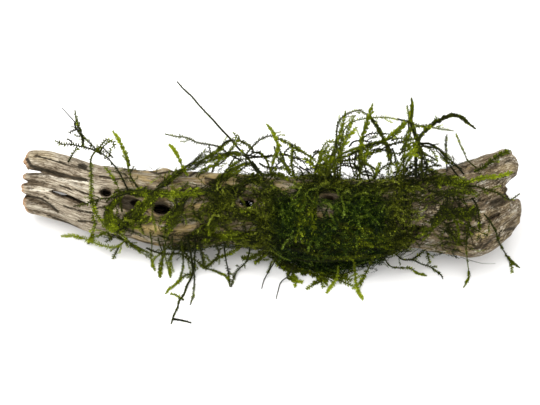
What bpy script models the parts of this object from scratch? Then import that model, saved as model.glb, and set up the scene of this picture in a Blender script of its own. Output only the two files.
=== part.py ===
"""Java moss on a stick of cholla wood, lying on a flat surface.

The stick is the dried, hollow skeleton of a cactus stem: a tube whose wall is a net of ribs that part
around long holes. Moss is wrapped around its middle, and free stems of moss reach out on all sides.

Metres, +Z up. The surface is z = 0, the stick lies along X, and the viewer of the picture stands at -Y.
Places along the stick and the stems' routes are read off the picture as (column, row) pixels, and
seen_at_depth and seen_at_height turn them into points in space.
"""
import math

import bmesh
import bpy
import numpy as np
from mathutils import Vector

MM = 0.001

# Real sizes
WALL = 2.9 * MM
LEAST_BORE = 5.6 * MM
MOSS_CLEARANCE = 0.45 * MM
LEAST_MOSS = 1.1 * MM
STEM_SPACING = 0.25 * MM
EDGE_MARGIN = 1 * MM
ALLOWED_PRESS = 0.02 * MM
LIFT_STEP = 0.15 * MM
MOST_LIFTS = 400
SAMPLE_STEP = 0.5 * MM
MERGE_DISTANCE = 0.001 * MM

# The picture's frame and how it looks at the stick
PICTURE_MIDDLE = (270, 202.5)
STICK_COLUMNS = (22, 520)
PIXEL = 0.3052 * MM
FOCAL_PIXELS = 1500
VIEW_ELEVATION = math.radians(60)
VIEW_TARGET = Vector((0, 4.2 * MM, 13.3 * MM))
VIEW_DISTANCE = FOCAL_PIXELS * PIXEL
RIGHTWARD = Vector((1, 0, 0))
FACING = Vector((0, -math.cos(VIEW_ELEVATION), math.sin(VIEW_ELEVATION)))
UPWARD = Vector((0, math.sin(VIEW_ELEVATION), math.cos(VIEW_ELEVATION)))
EYE = VIEW_TARGET + FACING * VIEW_DISTANCE

# The stick's outline in the picture: column, top row, bottom row
OUTLINE = (
    (22, 150, 212), (48, 150.5, 217), (64, 155, 221), (92, 163, 233), (128, 168, 238), (154, 171, 246),
    (200, 173, 246), (250, 176, 249), (300, 179, 253), (400, 178, 252), (429, 173, 251), (449, 168, 254),
    (469, 161.5, 257), (489, 154.5, 251), (507, 150.5, 238), (514, 153, 232), (524, 156, 229),
)
# Height of the stick's axis above the surface, in mm, by column
AXIS_HEIGHTS = ((22, 11.0), (128, 12.0), (250, 12.8), (400, 13.0), (449, 14.0), (480, 14.9), (524, 14.6))

# Around the stick an angle of 0 faces the viewer, 90 is the stick's top edge in the picture, and 180
# faces away. Long holes between the ribs: column, angle, length and width in mm, front ones first
HOLES = (
    (69, -11, 12.5, 1.4), (106, 14, 3.8, 2.4), (137, 4, 4.4, 2.8), (161, 1, 6.2, 3.4), (213, 51, 4.2, 1.9),
    (250, 16, 7.0, 3.0), (329, 32, 4.8, 2.6), (468, -4, 4.8, 4.4), (494, -17, 4.4, 1.9),
    (205, -32, 5.6, 2.8), (292, -16, 6.0, 3.0), (370, 0, 6.0, 3.0), (415, -26, 6.0, 3.0),
    (120, 100, 6.0, 3.0), (112, -165, 5.6, 2.8), (54, -166, 7.5, 2.2), (152, 152, 6.0, 3.0),
    (140, -108, 5.6, 2.8), (180, -150, 6.0, 3.0), (194, 108, 6.0, 3.0), (244, 163, 6.5, 3.2),
    (228, -104, 6.0, 3.0), (268, 116, 6.0, 3.0), (290, -152, 6.0, 3.0), (314, 158, 6.0, 3.0),
    (338, 106, 6.0, 3.0), (352, -108, 6.0, 3.0), (376, -158, 6.0, 3.0), (398, 142, 6.0, 3.0),
    (428, 96, 5.6, 3.0), (440, -118, 6.0, 3.2), (456, 172, 7.0, 3.6), (480, 118, 6.0, 3.4),
)
# Gaps between the loose fingers of the left end: angle, column where the gap closes, width in mm
FINGER_GAPS = (
    (23, 43, 1.6), (0, 29, 1.0), (-31, 31, 1.2), (-76, 40, 2.0), (-118, 46, 2.0), (-160, 42, 2.0),
    (156, 48, 2.2), (98, 40, 1.8),
)
# Furrows in the outside: column and angle of one end, of the other, width and depth in mm
FURROWS = (
    (16, 23, 92, 24, 1.1, 1.2), (16, 0, 60, -2, 0.9, 0.9), (16, -31, 66, -53, 1.3, 1.2),
    (16, -76, 90, -70, 1.4, 1.1), (16, 98, 84, 88, 1.4, 1.1), (16, 156, 96, 148, 1.6, 1.3),
    (16, -118, 96, -126, 1.5, 1.2), (16, -160, 84, -166, 1.4, 1.2), (76, -47, 98, -44, 0.9, 0.8),
    (478, 5, 512, 6, 1.5, 1.2), (440, 62, 505, 52, 1.4, 0.8), (446, -52, 500, -48, 1.6, 0.9),
)
# A hole's half size at the bore and at the outside, as parts of its length and width
HOLE_TAPER = (0.42, 0.56)
CUTTER_DEPTH = 8 * MM
CUTTER_SINK = 1.5 * MM
# A column clear of the stick's left end, where the cutters of the gaps between its fingers start
OPEN_COLUMN = 10
HOLE_LIP_REACH = 2.1
HOLE_LIP_DEPTH = 0.75 * MM
FURROW_FADE = 2.5
FURROW_START = 3 * MM
# The knob on the upper edge, left of the moss: column, angle, spread and rise in mm
KNOB = (165, 74, 2.6, 0.9)

# Where the stick's two ends lie, by angle: angle, column
LEFT_END = (
    (-180, 27), (-140, 25), (-97, 27), (-76, 28), (-50, 24.5), (-31, 27), (-14, 22.2), (0, 26), (12, 23.5),
    (23, 27), (50, 26), (80, 25), (98, 29), (130, 25), (156, 28), (180, 27),
)
RIGHT_END = (
    (-180, 512), (-140, 516), (-110, 513), (-85, 509), (-62, 514), (-52, 520), (-43, 521), (-12, 521),
    (-7, 511), (2, 506), (12, 505), (19, 507), (26, 514), (33, 519), (46, 519.5), (56, 516), (80, 511),
    (110, 514), (140, 517), (165, 512), (180, 512),
)

# The felted moss: where its two edges lie, by angle, and its swellings
MOSS_LEFT_EDGE = (
    (-180, 170), (-130, 150), (-90, 158), (-45, 172), (0, 184), (40, 170), (75, 182), (110, 168), (180, 170),
)
MOSS_RIGHT_EDGE = (
    (-180, 430), (-120, 440), (-70, 446), (-30, 432), (0, 424), (45, 430), (80, 436), (120, 424), (180, 430),
)
MOSS_BASE = 1.3 * MM
MOSS_THINNING = 9 * MM
# column, angle, spread in columns, spread in degrees, rise in mm
MOSS_SWELLINGS = (
    (332, -112, 46, 26, 6.0), (250, -128, 60, 24, 2.2), (330, 78, 12, 24, 3.0), (232, 62, 26, 30, 2.2),
    (300, 20, 80, 60, 1.2), (412, 66, 18, 26, 1.9), (300, -152, 110, 26, 2.4), (205, -60, 26, 34, 0.9),
    (395, -70, 36, 30, 1.2), (300, 160, 90, 30, 0.8),
)

# The ring of moss around the third hole from the left: one patch on the wood, with its swelling in mm
PATCH_COLUMNS = (118, 156)
PATCH_ANGLES = (-34, 30)
PATCH_THICKNESS = 1.2 * MM
PATCH_EDGE = 0.35
PATCH_NARROWING = 0.35
PATCH_MARGIN = 5

# Free stems, each from its root to its tip: how far its root and its tip stand out towards the viewer
# from the stick's axis, in mm, its thickness half way in mm, and its route in the picture. A stem whose
# route would run into the wood, the moss, the surface or an earlier stem is laid over it.
STEMS = {
    "left_tall": (1, 0, 0.9, (
        (128, 190), (116, 168), (108, 158), (97, 149.5), (89, 142), (82, 135.5), (79, 127), (76, 118),
        (74.8, 109.5))),
    "left_hair": (1, 3, 0.35, ((78, 126), (73, 120), (67, 113.5), (62, 108))),
    "left_fork": (2, 1, 0.8, ((97, 151.5), (90, 148), (80, 146), (70, 144), (62, 143.5), (55, 140.5))),
    "left_drop": (7, 3, 0.8, ((69, 162), (70.5, 157), (73, 152), (77, 148.5))),
    "left_loop": (4, 1, 0.8, (
        (98, 154), (99, 148), (103, 142.5), (107, 139.8), (111, 141.5), (114, 145), (115, 149))),
    "left_hanging": (3, 8, 0.8, (
        (95, 153), (91.5, 158), (91, 170), (91, 184), (91.5, 199), (96, 212), (102, 222), (108, 229),
        (115, 232.5))),
    "left_spear": (3, 1, 1.3, ((129, 172), (127, 161), (123, 150), (118.5, 140), (112.5, 130.7))),
    "across_wood": (9, 8, 0.7, ((130, 193.5), (119, 196), (108, 198.5), (98, 200), (89, 203), (73, 206.6))),
    "low_left_trail": (5, -9, 0.8, (
        (127, 238), (118, 246), (110, 247), (101, 245), (87.5, 239.6), (74, 236), (60.7, 236))),
    "low_left_twig": (5, -9, 0.8, ((112, 240), (107, 232.5), (98, 236), (90, 239.6), (88, 245))),
    "diagonal_bundle": (6, 1, 1.5, (
        (150, 194), (162, 185), (171, 178), (180, 170.5), (190, 165.5), (205, 158), (220, 150), (231, 140.5))),
    "middle_spear": (3, 2, 1.3, ((188, 176), (184, 169), (180, 161), (176, 152.5), (169, 144))),
    "high_branch": (2, 3, 0.8, (
        (240, 160), (228, 152), (219.6, 147), (209, 144.6), (195.5, 142), (182, 137.5), (165, 134))),
    "long_whip": (-5, -3, 0.7, (
        (257, 171), (252, 164), (245, 154.5), (231, 139.5), (214, 121), (198, 104), (184, 89.5),
        (177, 81.4))),
    "first_arch": (1, 3, 0.8, (
        (246, 166), (247, 153), (253, 146), (261.6, 138.6), (270, 135.7), (278, 138.6), (289, 145),
        (297, 158))),
    "middle_tip": (2, 5, 1.3, ((270, 172), (275, 158), (277, 142), (272, 131), (266, 124))),
    "middle_fall": (0, 2, 0.8, ((288, 168), (283, 158), (290, 148), (301, 150), (310, 156.5), (316, 161))),
    "tuft_left": (2, -1, 1.3, ((326, 178), (331, 162), (334, 150), (338, 138), (343, 124), (345.5, 110.4))),
    "tuft_middle": (0, -3, 1.3, ((334, 178), (338, 160), (343, 143), (349, 128), (354.3, 115.7))),
    "tuft_right": (4, 6, 1.3, ((340, 178), (341, 160), (345, 143), (352, 133), (357, 127))),
    "outer_arch": (3, 0, 0.8, (
        (332, 168), (336, 150), (337, 132), (340, 119), (347, 114), (355, 110.8), (363, 111.5), (370, 117.5),
        (377, 127), (384, 138), (389, 150), (391, 166))),
    "inner_arch": (5, 1, 0.8, (
        (337, 160), (344.6, 130), (357, 120), (369, 118), (382, 117), (396, 119), (406, 121.5))),
    "slanting_tip": (3, 4, 1.3, ((360, 180), (360, 160), (361.5, 140), (366, 127), (370, 115), (372.8, 103))),
    "leafy_diagonal": (4, 2, 1.5, (
        (330, 170), (338, 157), (350, 150.5), (365, 145.5), (381, 142), (392, 134.5), (406, 123))),
    "tall_tip": (1, -2, 1.5, (
        (422, 178), (420.5, 150), (415, 135), (411, 122), (412.3, 110), (411.6, 97.4))),
    "right_arch": (1, 0, 1.5, (
        (416, 178), (416, 158), (421, 137), (431, 125.5), (442, 119), (455, 115.3), (466, 120.5), (476, 129))),
    "right_reach": (3, 4, 0.8, ((403, 178), (405, 150), (409, 130), (421, 126.5), (436, 128.5), (454.5, 131))),
    "right_upright": (3, 1, 0.9, ((447, 172), (446.4, 155), (446, 143), (447, 134))),
    "right_hook": (3, -1, 0.8, ((472, 172), (467, 160), (463, 149), (458, 139), (455, 132))),
    "right_ridge": (4, 4, 0.8, ((474, 172), (485, 166), (494, 158.6), (503, 153), (512, 150.5))),
    "right_bright": (8, 9, 1.2, ((466, 183), (478, 178.5), (489, 177), (499, 175.5), (512.5, 172))),
    "right_trail": (9, 9, 0.6, ((464, 188), (478, 187), (490, 191), (500, 194.5), (510, 199.5), (519, 193.5))),
    "right_low": (5, -9, 1.1, ((484, 214), (491, 223), (497, 236), (503, 249), (511, 261), (519, 267))),
    "right_hanging": (5, -9, 0.9, (
        (470, 222), (467, 235), (466, 247), (467, 259), (469, 271), (468, 280), (463, 288))),
    "low_far_right": (5, -9, 0.9, ((384, 258), (392, 266), (404, 268), (417, 273), (427, 276))),
    "low_hair": (5, -9, 0.5, ((396, 254), (404, 259), (415, 260), (431, 267), (443, 277))),
    "low_stem": (5, -9, 0.9, ((195, 236), (194.5, 252), (194, 268), (194, 287), (193, 296), (190, 305))),
    "low_whip": (5, -9, 0.7, (
        (187, 238), (189, 256), (189, 274), (186, 288), (181, 299), (177, 309), (171, 324))),
    "low_whip_twig": (-8, -9, 0.5, ((174.5, 320), (182, 320.5), (191.5, 323))),
    "low_left_tip": (5, -9, 1.1, ((181, 240), (183, 256), (182, 272), (176, 283), (165, 294))),
    "low_cluster": (5, -9, 1.3, ((166, 240), (164, 252), (162, 264), (160, 278))),
    "low_middle": (5, -9, 0.9, ((198, 242), (206, 256), (212.5, 268), (222, 274), (228, 280), (230, 287))),
    "low_slant": (5, -9, 1.1, ((250, 248), (246, 262), (240, 268), (234, 277), (231, 287))),
    "low_twig": (5, -9, 0.8, ((277, 258), (274, 264), (268, 273), (264, 281), (261.6, 289))),
    "clump_left_tip": (5, -9, 0.9, ((296, 262), (287, 277), (281, 282), (278, 291), (276, 299))),
    "clump_tip": (5, -9, 1.3, ((338, 266), (337, 277), (332, 285), (326, 293))),
    "clump_right_tip": (5, -9, 1.3, ((354, 262), (355.5, 273), (357, 285), (363, 300))),
    "clump_far_tip": (5, -9, 1.1, ((372, 258), (368, 270), (362.5, 279), (360, 287.5))),
}

# A stem's thickness at its root and what it loses by its tip, as parts of its full thickness, and how
# early along it that is reached
STEM_ROOT, STEM_LOSS, STEM_HASTE = 0.55, 0.15, 1.1

# How finely each mesh is cut
STICK_RINGS, STICK_SIDES = 25, 28
HOLE_SIDES = 8
MOSS_RINGS, MOSS_SIDES = 20, 22
PATCH_CELLS = 5
STEM_POINTS = 8

WOOD_COLOUR = (0.42, 0.33, 0.22)
MOSS_COLOUR = (0.10, 0.16, 0.03)
TIP_COLOUR = (0.27, 0.38, 0.07)


def material(name, colour, roughness):
    made = bpy.data.materials.new(name)
    made.use_nodes = True
    shader = made.node_tree.nodes["Principled BSDF"]
    shader.inputs["Base Color"].default_value = (*colour, 1)
    shader.inputs["Roughness"].default_value = roughness
    shader.inputs["Metallic"].default_value = 0
    return made


def sight_line(column, row):
    """The direction in which the viewer sees a pixel."""
    across = column - PICTURE_MIDDLE[0]
    up = PICTURE_MIDDLE[1] - row
    return (RIGHTWARD * across + UPWARD * up - FACING * FOCAL_PIXELS).normalized()


def seen_at_height(column, row, height):
    """The point at this height above the surface that the viewer sees at a pixel."""
    line = sight_line(column, row)
    return EYE + line * ((height - EYE.z) / line.z)


def seen_at_depth(column, row, depth):
    """The point seen at a pixel, this far nearer to the viewer than VIEW_TARGET."""
    line = sight_line(column, row)
    return EYE + line * ((VIEW_DISTANCE - depth) / -line.dot(FACING))


def curve_through(places, values):
    """A smooth curve through hand-picked values, as a function of place."""
    places = np.array(places, float)
    values = np.array(values, float)
    slopes = np.gradient(values, places)

    def value_at(place):
        place = np.clip(place, places[0], places[-1])
        i = np.clip(np.searchsorted(places, place) - 1, 0, len(places) - 2)
        step = places[i + 1] - places[i]
        t = (place - places[i]) / step
        rise = values[i] * (1 + 2 * t) * (1 - t) ** 2 + values[i + 1] * t * t * (3 - 2 * t)
        return rise + step * (slopes[i] * t * (1 - t) ** 2 - slopes[i + 1] * t * t * (1 - t))

    return value_at


def axis_curves():
    """The stick's axis and radius as functions of x, worked out from its outline in the picture."""
    height_at = curve_through(*zip(*AXIS_HEIGHTS))
    middles = []
    radii = []
    for column, top, bottom in OUTLINE:
        middle = seen_at_height(column, (top + bottom) / 2, float(height_at(column)) * MM)
        middles.append(middle)
        radii.append((bottom - top) / 2 * PIXEL * (EYE - middle).dot(FACING) / VIEW_DISTANCE)
    along = [middle.x for middle in middles]
    return (
        curve_through(along, [middle.y for middle in middles]),
        curve_through(along, [middle.z for middle in middles]),
        curve_through(along, radii),
    )


AXIS_Y, AXIS_Z, AXIS_RADIUS = axis_curves()


def x_of_column(column, angle=90):
    """Where along X a column of the picture meets the stick's outside at an angle.

    The outside at 0 degrees is nearer to the viewer than the axis, and at 90 it is level with it."""
    toward = max(math.cos(math.radians(angle)), 0)
    depth = 0.0
    for _ in range(3):
        x = (column - PICTURE_MIDDLE[0]) * PIXEL * (VIEW_DISTANCE - depth) / VIEW_DISTANCE
        depth = (AXIS_Y(x) - VIEW_TARGET.y) * FACING.y + (AXIS_Z(x) - VIEW_TARGET.z) * FACING.z
        depth = depth + AXIS_RADIUS(x) * toward
    return x


def placed(rows):
    """Rows of column, angle and more, with the column turned into a place along X."""
    return tuple((x_of_column(*row[:2]), *row[1:]) for row in rows)


def edge_places(rows):
    """Rows of angle and column as a list of angles and a list of places along X."""
    return [angle for angle, _ in rows], [x_of_column(column, angle) for angle, column in rows]


KNOB_X = x_of_column(*KNOB[:2])
HOLE_PLACES = placed(HOLES)
FURROW_PLACES = tuple((*row[:2], x_of_column(*row[2:4]), *row[3:]) for row in placed(FURROWS))
SWELLING_PLACES = placed(MOSS_SWELLINGS)
LEFT_END_PLACES, RIGHT_END_PLACES = edge_places(LEFT_END), edge_places(RIGHT_END)
MOSS_LEFT_PLACES, MOSS_RIGHT_PLACES = edge_places(MOSS_LEFT_EDGE), edge_places(MOSS_RIGHT_EDGE)
PATCH_START, PATCH_END = (x_of_column(column, 0) for column in PATCH_COLUMNS)
STICK_START, STICK_END = min(LEFT_END_PLACES[1]), max(RIGHT_END_PLACES[1])


def turned_apart(angle, other):
    """The turn from one angle to another, in degrees, between -180 and 180."""
    return (angle - other + 180) % 360 - 180


def knobbly_radius(x, angle):
    """The stick's radius with its knob, before holes and furrows are sunk into it."""
    radius = AXIS_RADIUS(x)
    _, at_angle, spread, rise = KNOB
    off = np.hypot(x - KNOB_X, np.radians(turned_apart(angle, at_angle)) * radius)
    return radius + rise * MM * np.exp(-((off / (spread * MM)) ** 2))


def wood_radius(x, angle):
    """The outside of the stick's wall, by place along X and angle in degrees."""
    radius = knobbly_radius(x, angle)
    sunk = 0.0
    for middle, at_angle, length, width in HOLE_PLACES:
        along = (x - middle) / (length * MM / 2)
        across = np.radians(turned_apart(angle, at_angle)) * radius / (width * MM / 2)
        sunk = sunk + HOLE_LIP_DEPTH * np.exp(-((along**2 + across**2) / HOLE_LIP_REACH))
    for start, at_angle, end, far_angle, width, depth in FURROW_PLACES:
        part = np.clip((x - start) / (end - start), 0, 1)
        across = np.radians(turned_apart(angle, at_angle + (far_angle - at_angle) * part)) * radius
        fade = np.clip((end - x) / (end - start) * FURROW_FADE, 0, 1)
        fade = fade * np.clip((x - start) / FURROW_START + 1, 0, 1)
        sunk = sunk + depth * MM * fade * np.exp(-((across / (width * MM)) ** 2))
    return radius - sunk


def covered_radius(x, angle):
    """The inside of the moss: the wood's outside, without its furrows, and a clear gap."""
    return knobbly_radius(x, angle) + MOSS_CLEARANCE


def moss_edges(angle):
    """The x of the felted moss's left and right edge at an angle."""
    return np.interp(angle, *MOSS_LEFT_PLACES), np.interp(angle, *MOSS_RIGHT_PLACES)


def moss_radius(x, angle):
    """The outside of the felted moss, thinning to its ragged edges."""
    left, right = moss_edges(angle)
    inside = np.clip(np.minimum(x - left, right - x) / MOSS_THINNING, 0, 1)
    thickness = LEAST_MOSS + (MOSS_BASE - LEAST_MOSS) * inside
    for middle, at_angle, columns, degrees, rise in SWELLING_PLACES:
        along = (x - middle) / (columns * PIXEL)
        around = turned_apart(angle, at_angle) / degrees
        thickness = thickness + rise * MM * np.sqrt(inside) * np.exp(-(along**2) - around**2)
    return covered_radius(x, angle) + thickness


def around_axis(x, angle, radius):
    """A point at an angle and a distance from the stick's axis."""
    outward = FACING * math.cos(math.radians(angle)) + UPWARD * math.sin(math.radians(angle))
    return Vector((x, float(AXIS_Y(x)), float(AXIS_Z(x)))) + outward * float(radius)


def add_to(collection, name, mesh, look):
    made = bpy.data.objects.new(name, mesh)
    made.data.materials.append(look)
    collection.objects.link(made)
    return made


def sleeve(name, rings, sides, outer_point, inner_point):
    """A tube-like shell: a grid bent round the axis, then extruded from its outside to its inside.

    outer_point and inner_point give a place from (part of the length, angle in degrees)."""
    bm = bmesh.new()
    bmesh.ops.create_grid(bm, x_segments=rings, y_segments=sides, size=0.5)
    shell = bmesh.ops.extrude_face_region(bm, geom=list(bm.faces))
    inner = {item for item in shell["geom"] if isinstance(item, bmesh.types.BMVert)}
    seam = [face for face in bm.faces if all(abs(abs(vert.co.y) - 0.5) < 1e-6 for vert in face.verts)]
    bmesh.ops.delete(bm, geom=seam, context="FACES_ONLY")
    for vert in bm.verts:
        part, angle = vert.co.x + 0.5, 360 * vert.co.y
        vert.co = (inner_point if vert in inner else outer_point)(part, angle)
    bmesh.ops.remove_doubles(bm, verts=bm.verts, dist=MERGE_DISTANCE)
    bmesh.ops.recalc_face_normals(bm, faces=bm.faces)
    mesh = bpy.data.meshes.new(name)
    bm.to_mesh(mesh)
    bm.free()
    return mesh


def stick_x(part, angle):
    """Places along the stick, from its ragged left end to its ragged right end."""
    left = np.interp(angle, *LEFT_END_PLACES)
    right = np.interp(angle, *RIGHT_END_PLACES)
    return left + (right - left) * part


def stick_outside(part, angle):
    x = stick_x(part, angle)
    return around_axis(x, angle, wood_radius(x, angle))


def stick_bore(part, angle):
    x = stick_x(part, angle)
    return around_axis(x, angle, max(AXIS_RADIUS(x) - WALL, LEAST_BORE))


def add_cutter(bm, column, angle, length, width):
    """A long eight-sided hole through the wall, wider at the outside than at the bore."""
    x = x_of_column(column, angle)
    made = bmesh.ops.create_cone(
        bm, cap_ends=True, segments=HOLE_SIDES, radius1=HOLE_TAPER[0], radius2=HOLE_TAPER[1],
        depth=CUTTER_DEPTH)
    verts = made["verts"]
    bmesh.ops.scale(bm, vec=(length * MM, width * MM, 1), verts=verts)
    middle = around_axis(x, angle, AXIS_RADIUS(x) - CUTTER_SINK)
    outward = FACING * math.cos(math.radians(angle)) + UPWARD * math.sin(math.radians(angle))
    sideways = outward.cross(RIGHTWARD)
    for vert in verts:
        at = vert.co.copy()
        vert.co = middle + RIGHTWARD * at.x + sideways * at.y + outward * at.z


def hole_cutters(collection):
    """All that is cut from the stick's wall: its holes, and the gaps between its left fingers."""
    bm = bmesh.new()
    for column, angle, length, width in HOLES:
        add_cutter(bm, column, angle, length, width)
    for angle, closes_at, width in FINGER_GAPS:
        length = (closes_at - OPEN_COLUMN) * PIXEL / MM
        add_cutter(bm, (OPEN_COLUMN + closes_at) / 2, angle, length, width)
    mesh = bpy.data.meshes.new("hole_cutters")
    bm.to_mesh(mesh)
    bm.free()
    cutters = bpy.data.objects.new("hole_cutters", mesh)
    cutters.hide_render = True
    cutters.display_type = "WIRE"
    collection.objects.link(cutters)
    return cutters


def make_stick(collection, cutters, look):
    mesh = sleeve("cholla_wood", STICK_RINGS, STICK_SIDES, stick_outside, stick_bore)
    stick = add_to(collection, "cholla_wood", mesh, look)
    cut = stick.modifiers.new("holes", "BOOLEAN")
    cut.operation = "DIFFERENCE"
    cut.object = cutters
    return stick


def moss_x(part, angle):
    left, right = moss_edges(angle)
    return left + (right - left) * part


def moss_outside(part, angle):
    """The moss's outside, pressed flat where it lies on the surface."""
    x = moss_x(part, angle)
    point = around_axis(x, angle, moss_radius(x, angle))
    point.z = max(point.z, 0)
    return point


def moss_inside(part, angle):
    x = moss_x(part, angle)
    return around_axis(x, angle, covered_radius(x, angle))


def make_moss_mat(collection, look):
    mesh = sleeve("moss_mat", MOSS_RINGS, MOSS_SIDES, moss_outside, moss_inside)
    return add_to(collection, "moss_mat", mesh, look)


def patch_rise(part, other):
    """How thick the patch is: full in its middle, thin at its edges."""
    bulge = math.sin(math.pi * part) * math.sin(math.pi * other)
    return PATCH_THICKNESS * (PATCH_EDGE + (1 - PATCH_EDGE) * bulge)


def make_moss_patch(collection, look):
    """The small ring of moss on the wood, left of the mat, as a curved pad."""
    bm = bmesh.new()
    bmesh.ops.create_grid(bm, x_segments=PATCH_CELLS, y_segments=PATCH_CELLS, size=0.5)
    under = list(bm.verts)
    shell = bmesh.ops.extrude_face_region(bm, geom=list(bm.faces))
    over = {item for item in shell["geom"] if isinstance(item, bmesh.types.BMVert)}
    for vert in under + list(over):
        part, other = vert.co.x + 0.5, vert.co.y + 0.5
        squeeze = 1 - PATCH_NARROWING * (2 * part - 1) ** 2
        middle = sum(PATCH_ANGLES) / 2
        angle = middle + (other - 0.5) * (PATCH_ANGLES[1] - PATCH_ANGLES[0]) * squeeze
        x = PATCH_START + part * (PATCH_END - PATCH_START)
        rise = patch_rise(part, other) if vert in over else 0
        vert.co = around_axis(x, angle, covered_radius(x, angle) + rise)
    bmesh.ops.recalc_face_normals(bm, faces=bm.faces)
    mesh = bpy.data.meshes.new("moss_patch")
    bm.to_mesh(mesh)
    bm.free()
    return add_to(collection, "moss_patch", mesh, look)


def support_radius(x, angle):
    """How far from the axis a stem has to stay: the moss, the patch or the wood is under it."""
    left, right = moss_edges(angle)
    on_moss = (x > left - EDGE_MARGIN) & (x < right + EDGE_MARGIN)
    on_patch = (x > PATCH_START - EDGE_MARGIN) & (x < PATCH_END + EDGE_MARGIN)
    on_patch = on_patch & (angle > PATCH_ANGLES[0] - PATCH_MARGIN) & (angle < PATCH_ANGLES[1] + PATCH_MARGIN)
    bare = covered_radius(x, angle) + np.where(on_patch, PATCH_THICKNESS, 0)
    return np.where(on_moss, moss_radius(np.clip(x, left, right), angle), bare)


def clearance(places):
    """How far stems' points, as rows of x, y, z and radius, stay clear of the surface, moss and wood."""
    x, y, z, radius = places.T
    off_y, off_z = y - AXIS_Y(x), z - AXIS_Z(x)
    toward = off_y * FACING.y + off_z * FACING.z
    upward = off_y * UPWARD.y + off_z * UPWARD.z
    support = support_radius(x, np.degrees(np.arctan2(upward, toward)))
    from_stick = np.hypot(off_y, off_z) - support - STEM_SPACING - radius
    past_end = (x < STICK_START - EDGE_MARGIN) | (x > STICK_END + EDGE_MARGIN)
    from_stick = np.where(past_end, 1, from_stick)
    return np.minimum(from_stick, z - radius)


def route_pixels(pixels, count):
    """Points at even steps on a smooth curve through a route's pixels."""
    pixels = np.array(pixels, float)
    steps = np.hypot(*np.diff(pixels, axis=0).T)
    lengths = np.concatenate([[0], np.cumsum(steps)])
    column_at = curve_through(lengths, pixels[:, 0])
    row_at = curve_through(lengths, pixels[:, 1])
    wanted = np.linspace(0, lengths[-1], count)
    return [(float(column_at(at)), float(row_at(at)), at / lengths[-1]) for at in wanted]


def stem_radius(thickness, part):
    """Half a stem's thickness: slender at the root, full where it is leafy, and pointed at the tip."""
    fullness = math.sin(math.pi * min(part * STEM_HASTE, 1))
    return thickness / 2 * MM * (STEM_ROOT + (1 - STEM_ROOT) * fullness - STEM_LOSS * part)


def along_segment(start, end, radii):
    """Points every half millimetre between two points, with the stem's radius there."""
    count = max(2, int((end - start).length / SAMPLE_STEP) + 1)
    parts = np.linspace(0, 1, count)
    places = [(*start.lerp(end, part), radii[0] + (radii[1] - radii[0]) * part) for part in parts]
    return np.array(places)


def closest_to_laid(samples, laid):
    """How far each sample stays clear of the stems that are already laid."""
    if not len(laid):
        return np.ones(len(samples))
    apart = np.linalg.norm(samples[:, None, :3] - laid[None, :, :3], axis=2)
    return (apart - samples[:, None, 3] - laid[None, :, 3] - STEM_SPACING).min(axis=1)


def lay_stem(root_lift, tip_lift, thickness, pixels, laid):
    """A stem's points, lifted towards the viewer until it is clear of all that it crosses."""
    route = route_pixels(pixels, max(STEM_POINTS, len(pixels)))
    radii = [stem_radius(thickness, part) for _, _, part in route]
    depths = []
    for (column, row, part), radius in zip(route, radii):
        x = x_of_column(min(max(column, STICK_COLUMNS[0]), STICK_COLUMNS[1]))
        axis = Vector((float(x), float(AXIS_Y(x)), float(AXIS_Z(x))))
        depth = (axis - VIEW_TARGET).dot(FACING) + (root_lift + (tip_lift - root_lift) * part) * MM
        while clearance(np.array([(*seen_at_depth(column, row, depth), radius)]))[0] < 0:
            depth += LIFT_STEP
        depths.append(depth)
    for _ in range(MOST_LIFTS):
        points = [seen_at_depth(column, row, depth) for (column, row, _), depth in zip(route, depths)]
        lifted = set()
        for i in range(len(points) - 1):
            samples = along_segment(points[i], points[i + 1], radii[i:i + 2])
            room = np.minimum(clearance(samples) + ALLOWED_PRESS, closest_to_laid(samples, laid))
            if room.min() < 0:
                lifted.add(i + round(float(room.argmin()) / (len(samples) - 1)))
        for i in lifted:
            depths[i] += LIFT_STEP
        if not lifted:
            break
    return points, radii


def make_stem(collection, name, points, radii, look):
    """A stem: a tapering four-sided tube along its points."""
    curve = bpy.data.curves.new(name, "CURVE")
    curve.dimensions = "3D"
    curve.bevel_depth = 1
    curve.bevel_resolution = 0
    curve.use_fill_caps = True
    spline = curve.splines.new("POLY")
    spline.points.add(len(points) - 1)
    for spot, point, radius in zip(spline.points, points, radii):
        spot.co = (*point, 1)
        spot.radius = radius
    return add_to(collection, name, curve, look)


def main():
    for old in list(bpy.data.objects):
        bpy.data.objects.remove(old)
    pieces = bpy.data.collections.new("java_moss_on_cholla_wood")
    cutting = bpy.data.collections.new("cutters")
    bpy.context.scene.collection.children.link(pieces)
    bpy.context.scene.collection.children.link(cutting)
    wood_look = material("cholla_wood", WOOD_COLOUR, 0.8)
    moss_look = material("moss_mat", MOSS_COLOUR, 0.75)
    stem_look = material("moss_stem", TIP_COLOUR, 0.6)
    make_stick(pieces, hole_cutters(cutting), wood_look)
    make_moss_mat(pieces, moss_look)
    make_moss_patch(pieces, moss_look)
    laid = np.empty((0, 4))
    for name, (root_lift, tip_lift, thickness, pixels) in STEMS.items():
        points, radii = lay_stem(root_lift, tip_lift, thickness, pixels, laid)
        for i in range(len(points) - 1):
            laid = np.concatenate([laid, along_segment(points[i], points[i + 1], radii[i:i + 2])])
        make_stem(pieces, "stem_" + name, points, radii, stem_look)


main()
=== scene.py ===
# %% [markdown]
# Java moss on cholla wood, dressed.
# The frame holds plain solids: a holed tube of wood, a felt sleeve and some rods for the free stems. This
# lesson grows the real surface over them: wood whose grain parts around its holes, and moss made of
# thousands of small leafy shoots. Every shape is worked out in metres, in the frame's own space.

# %% Load the frame
import math

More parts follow.
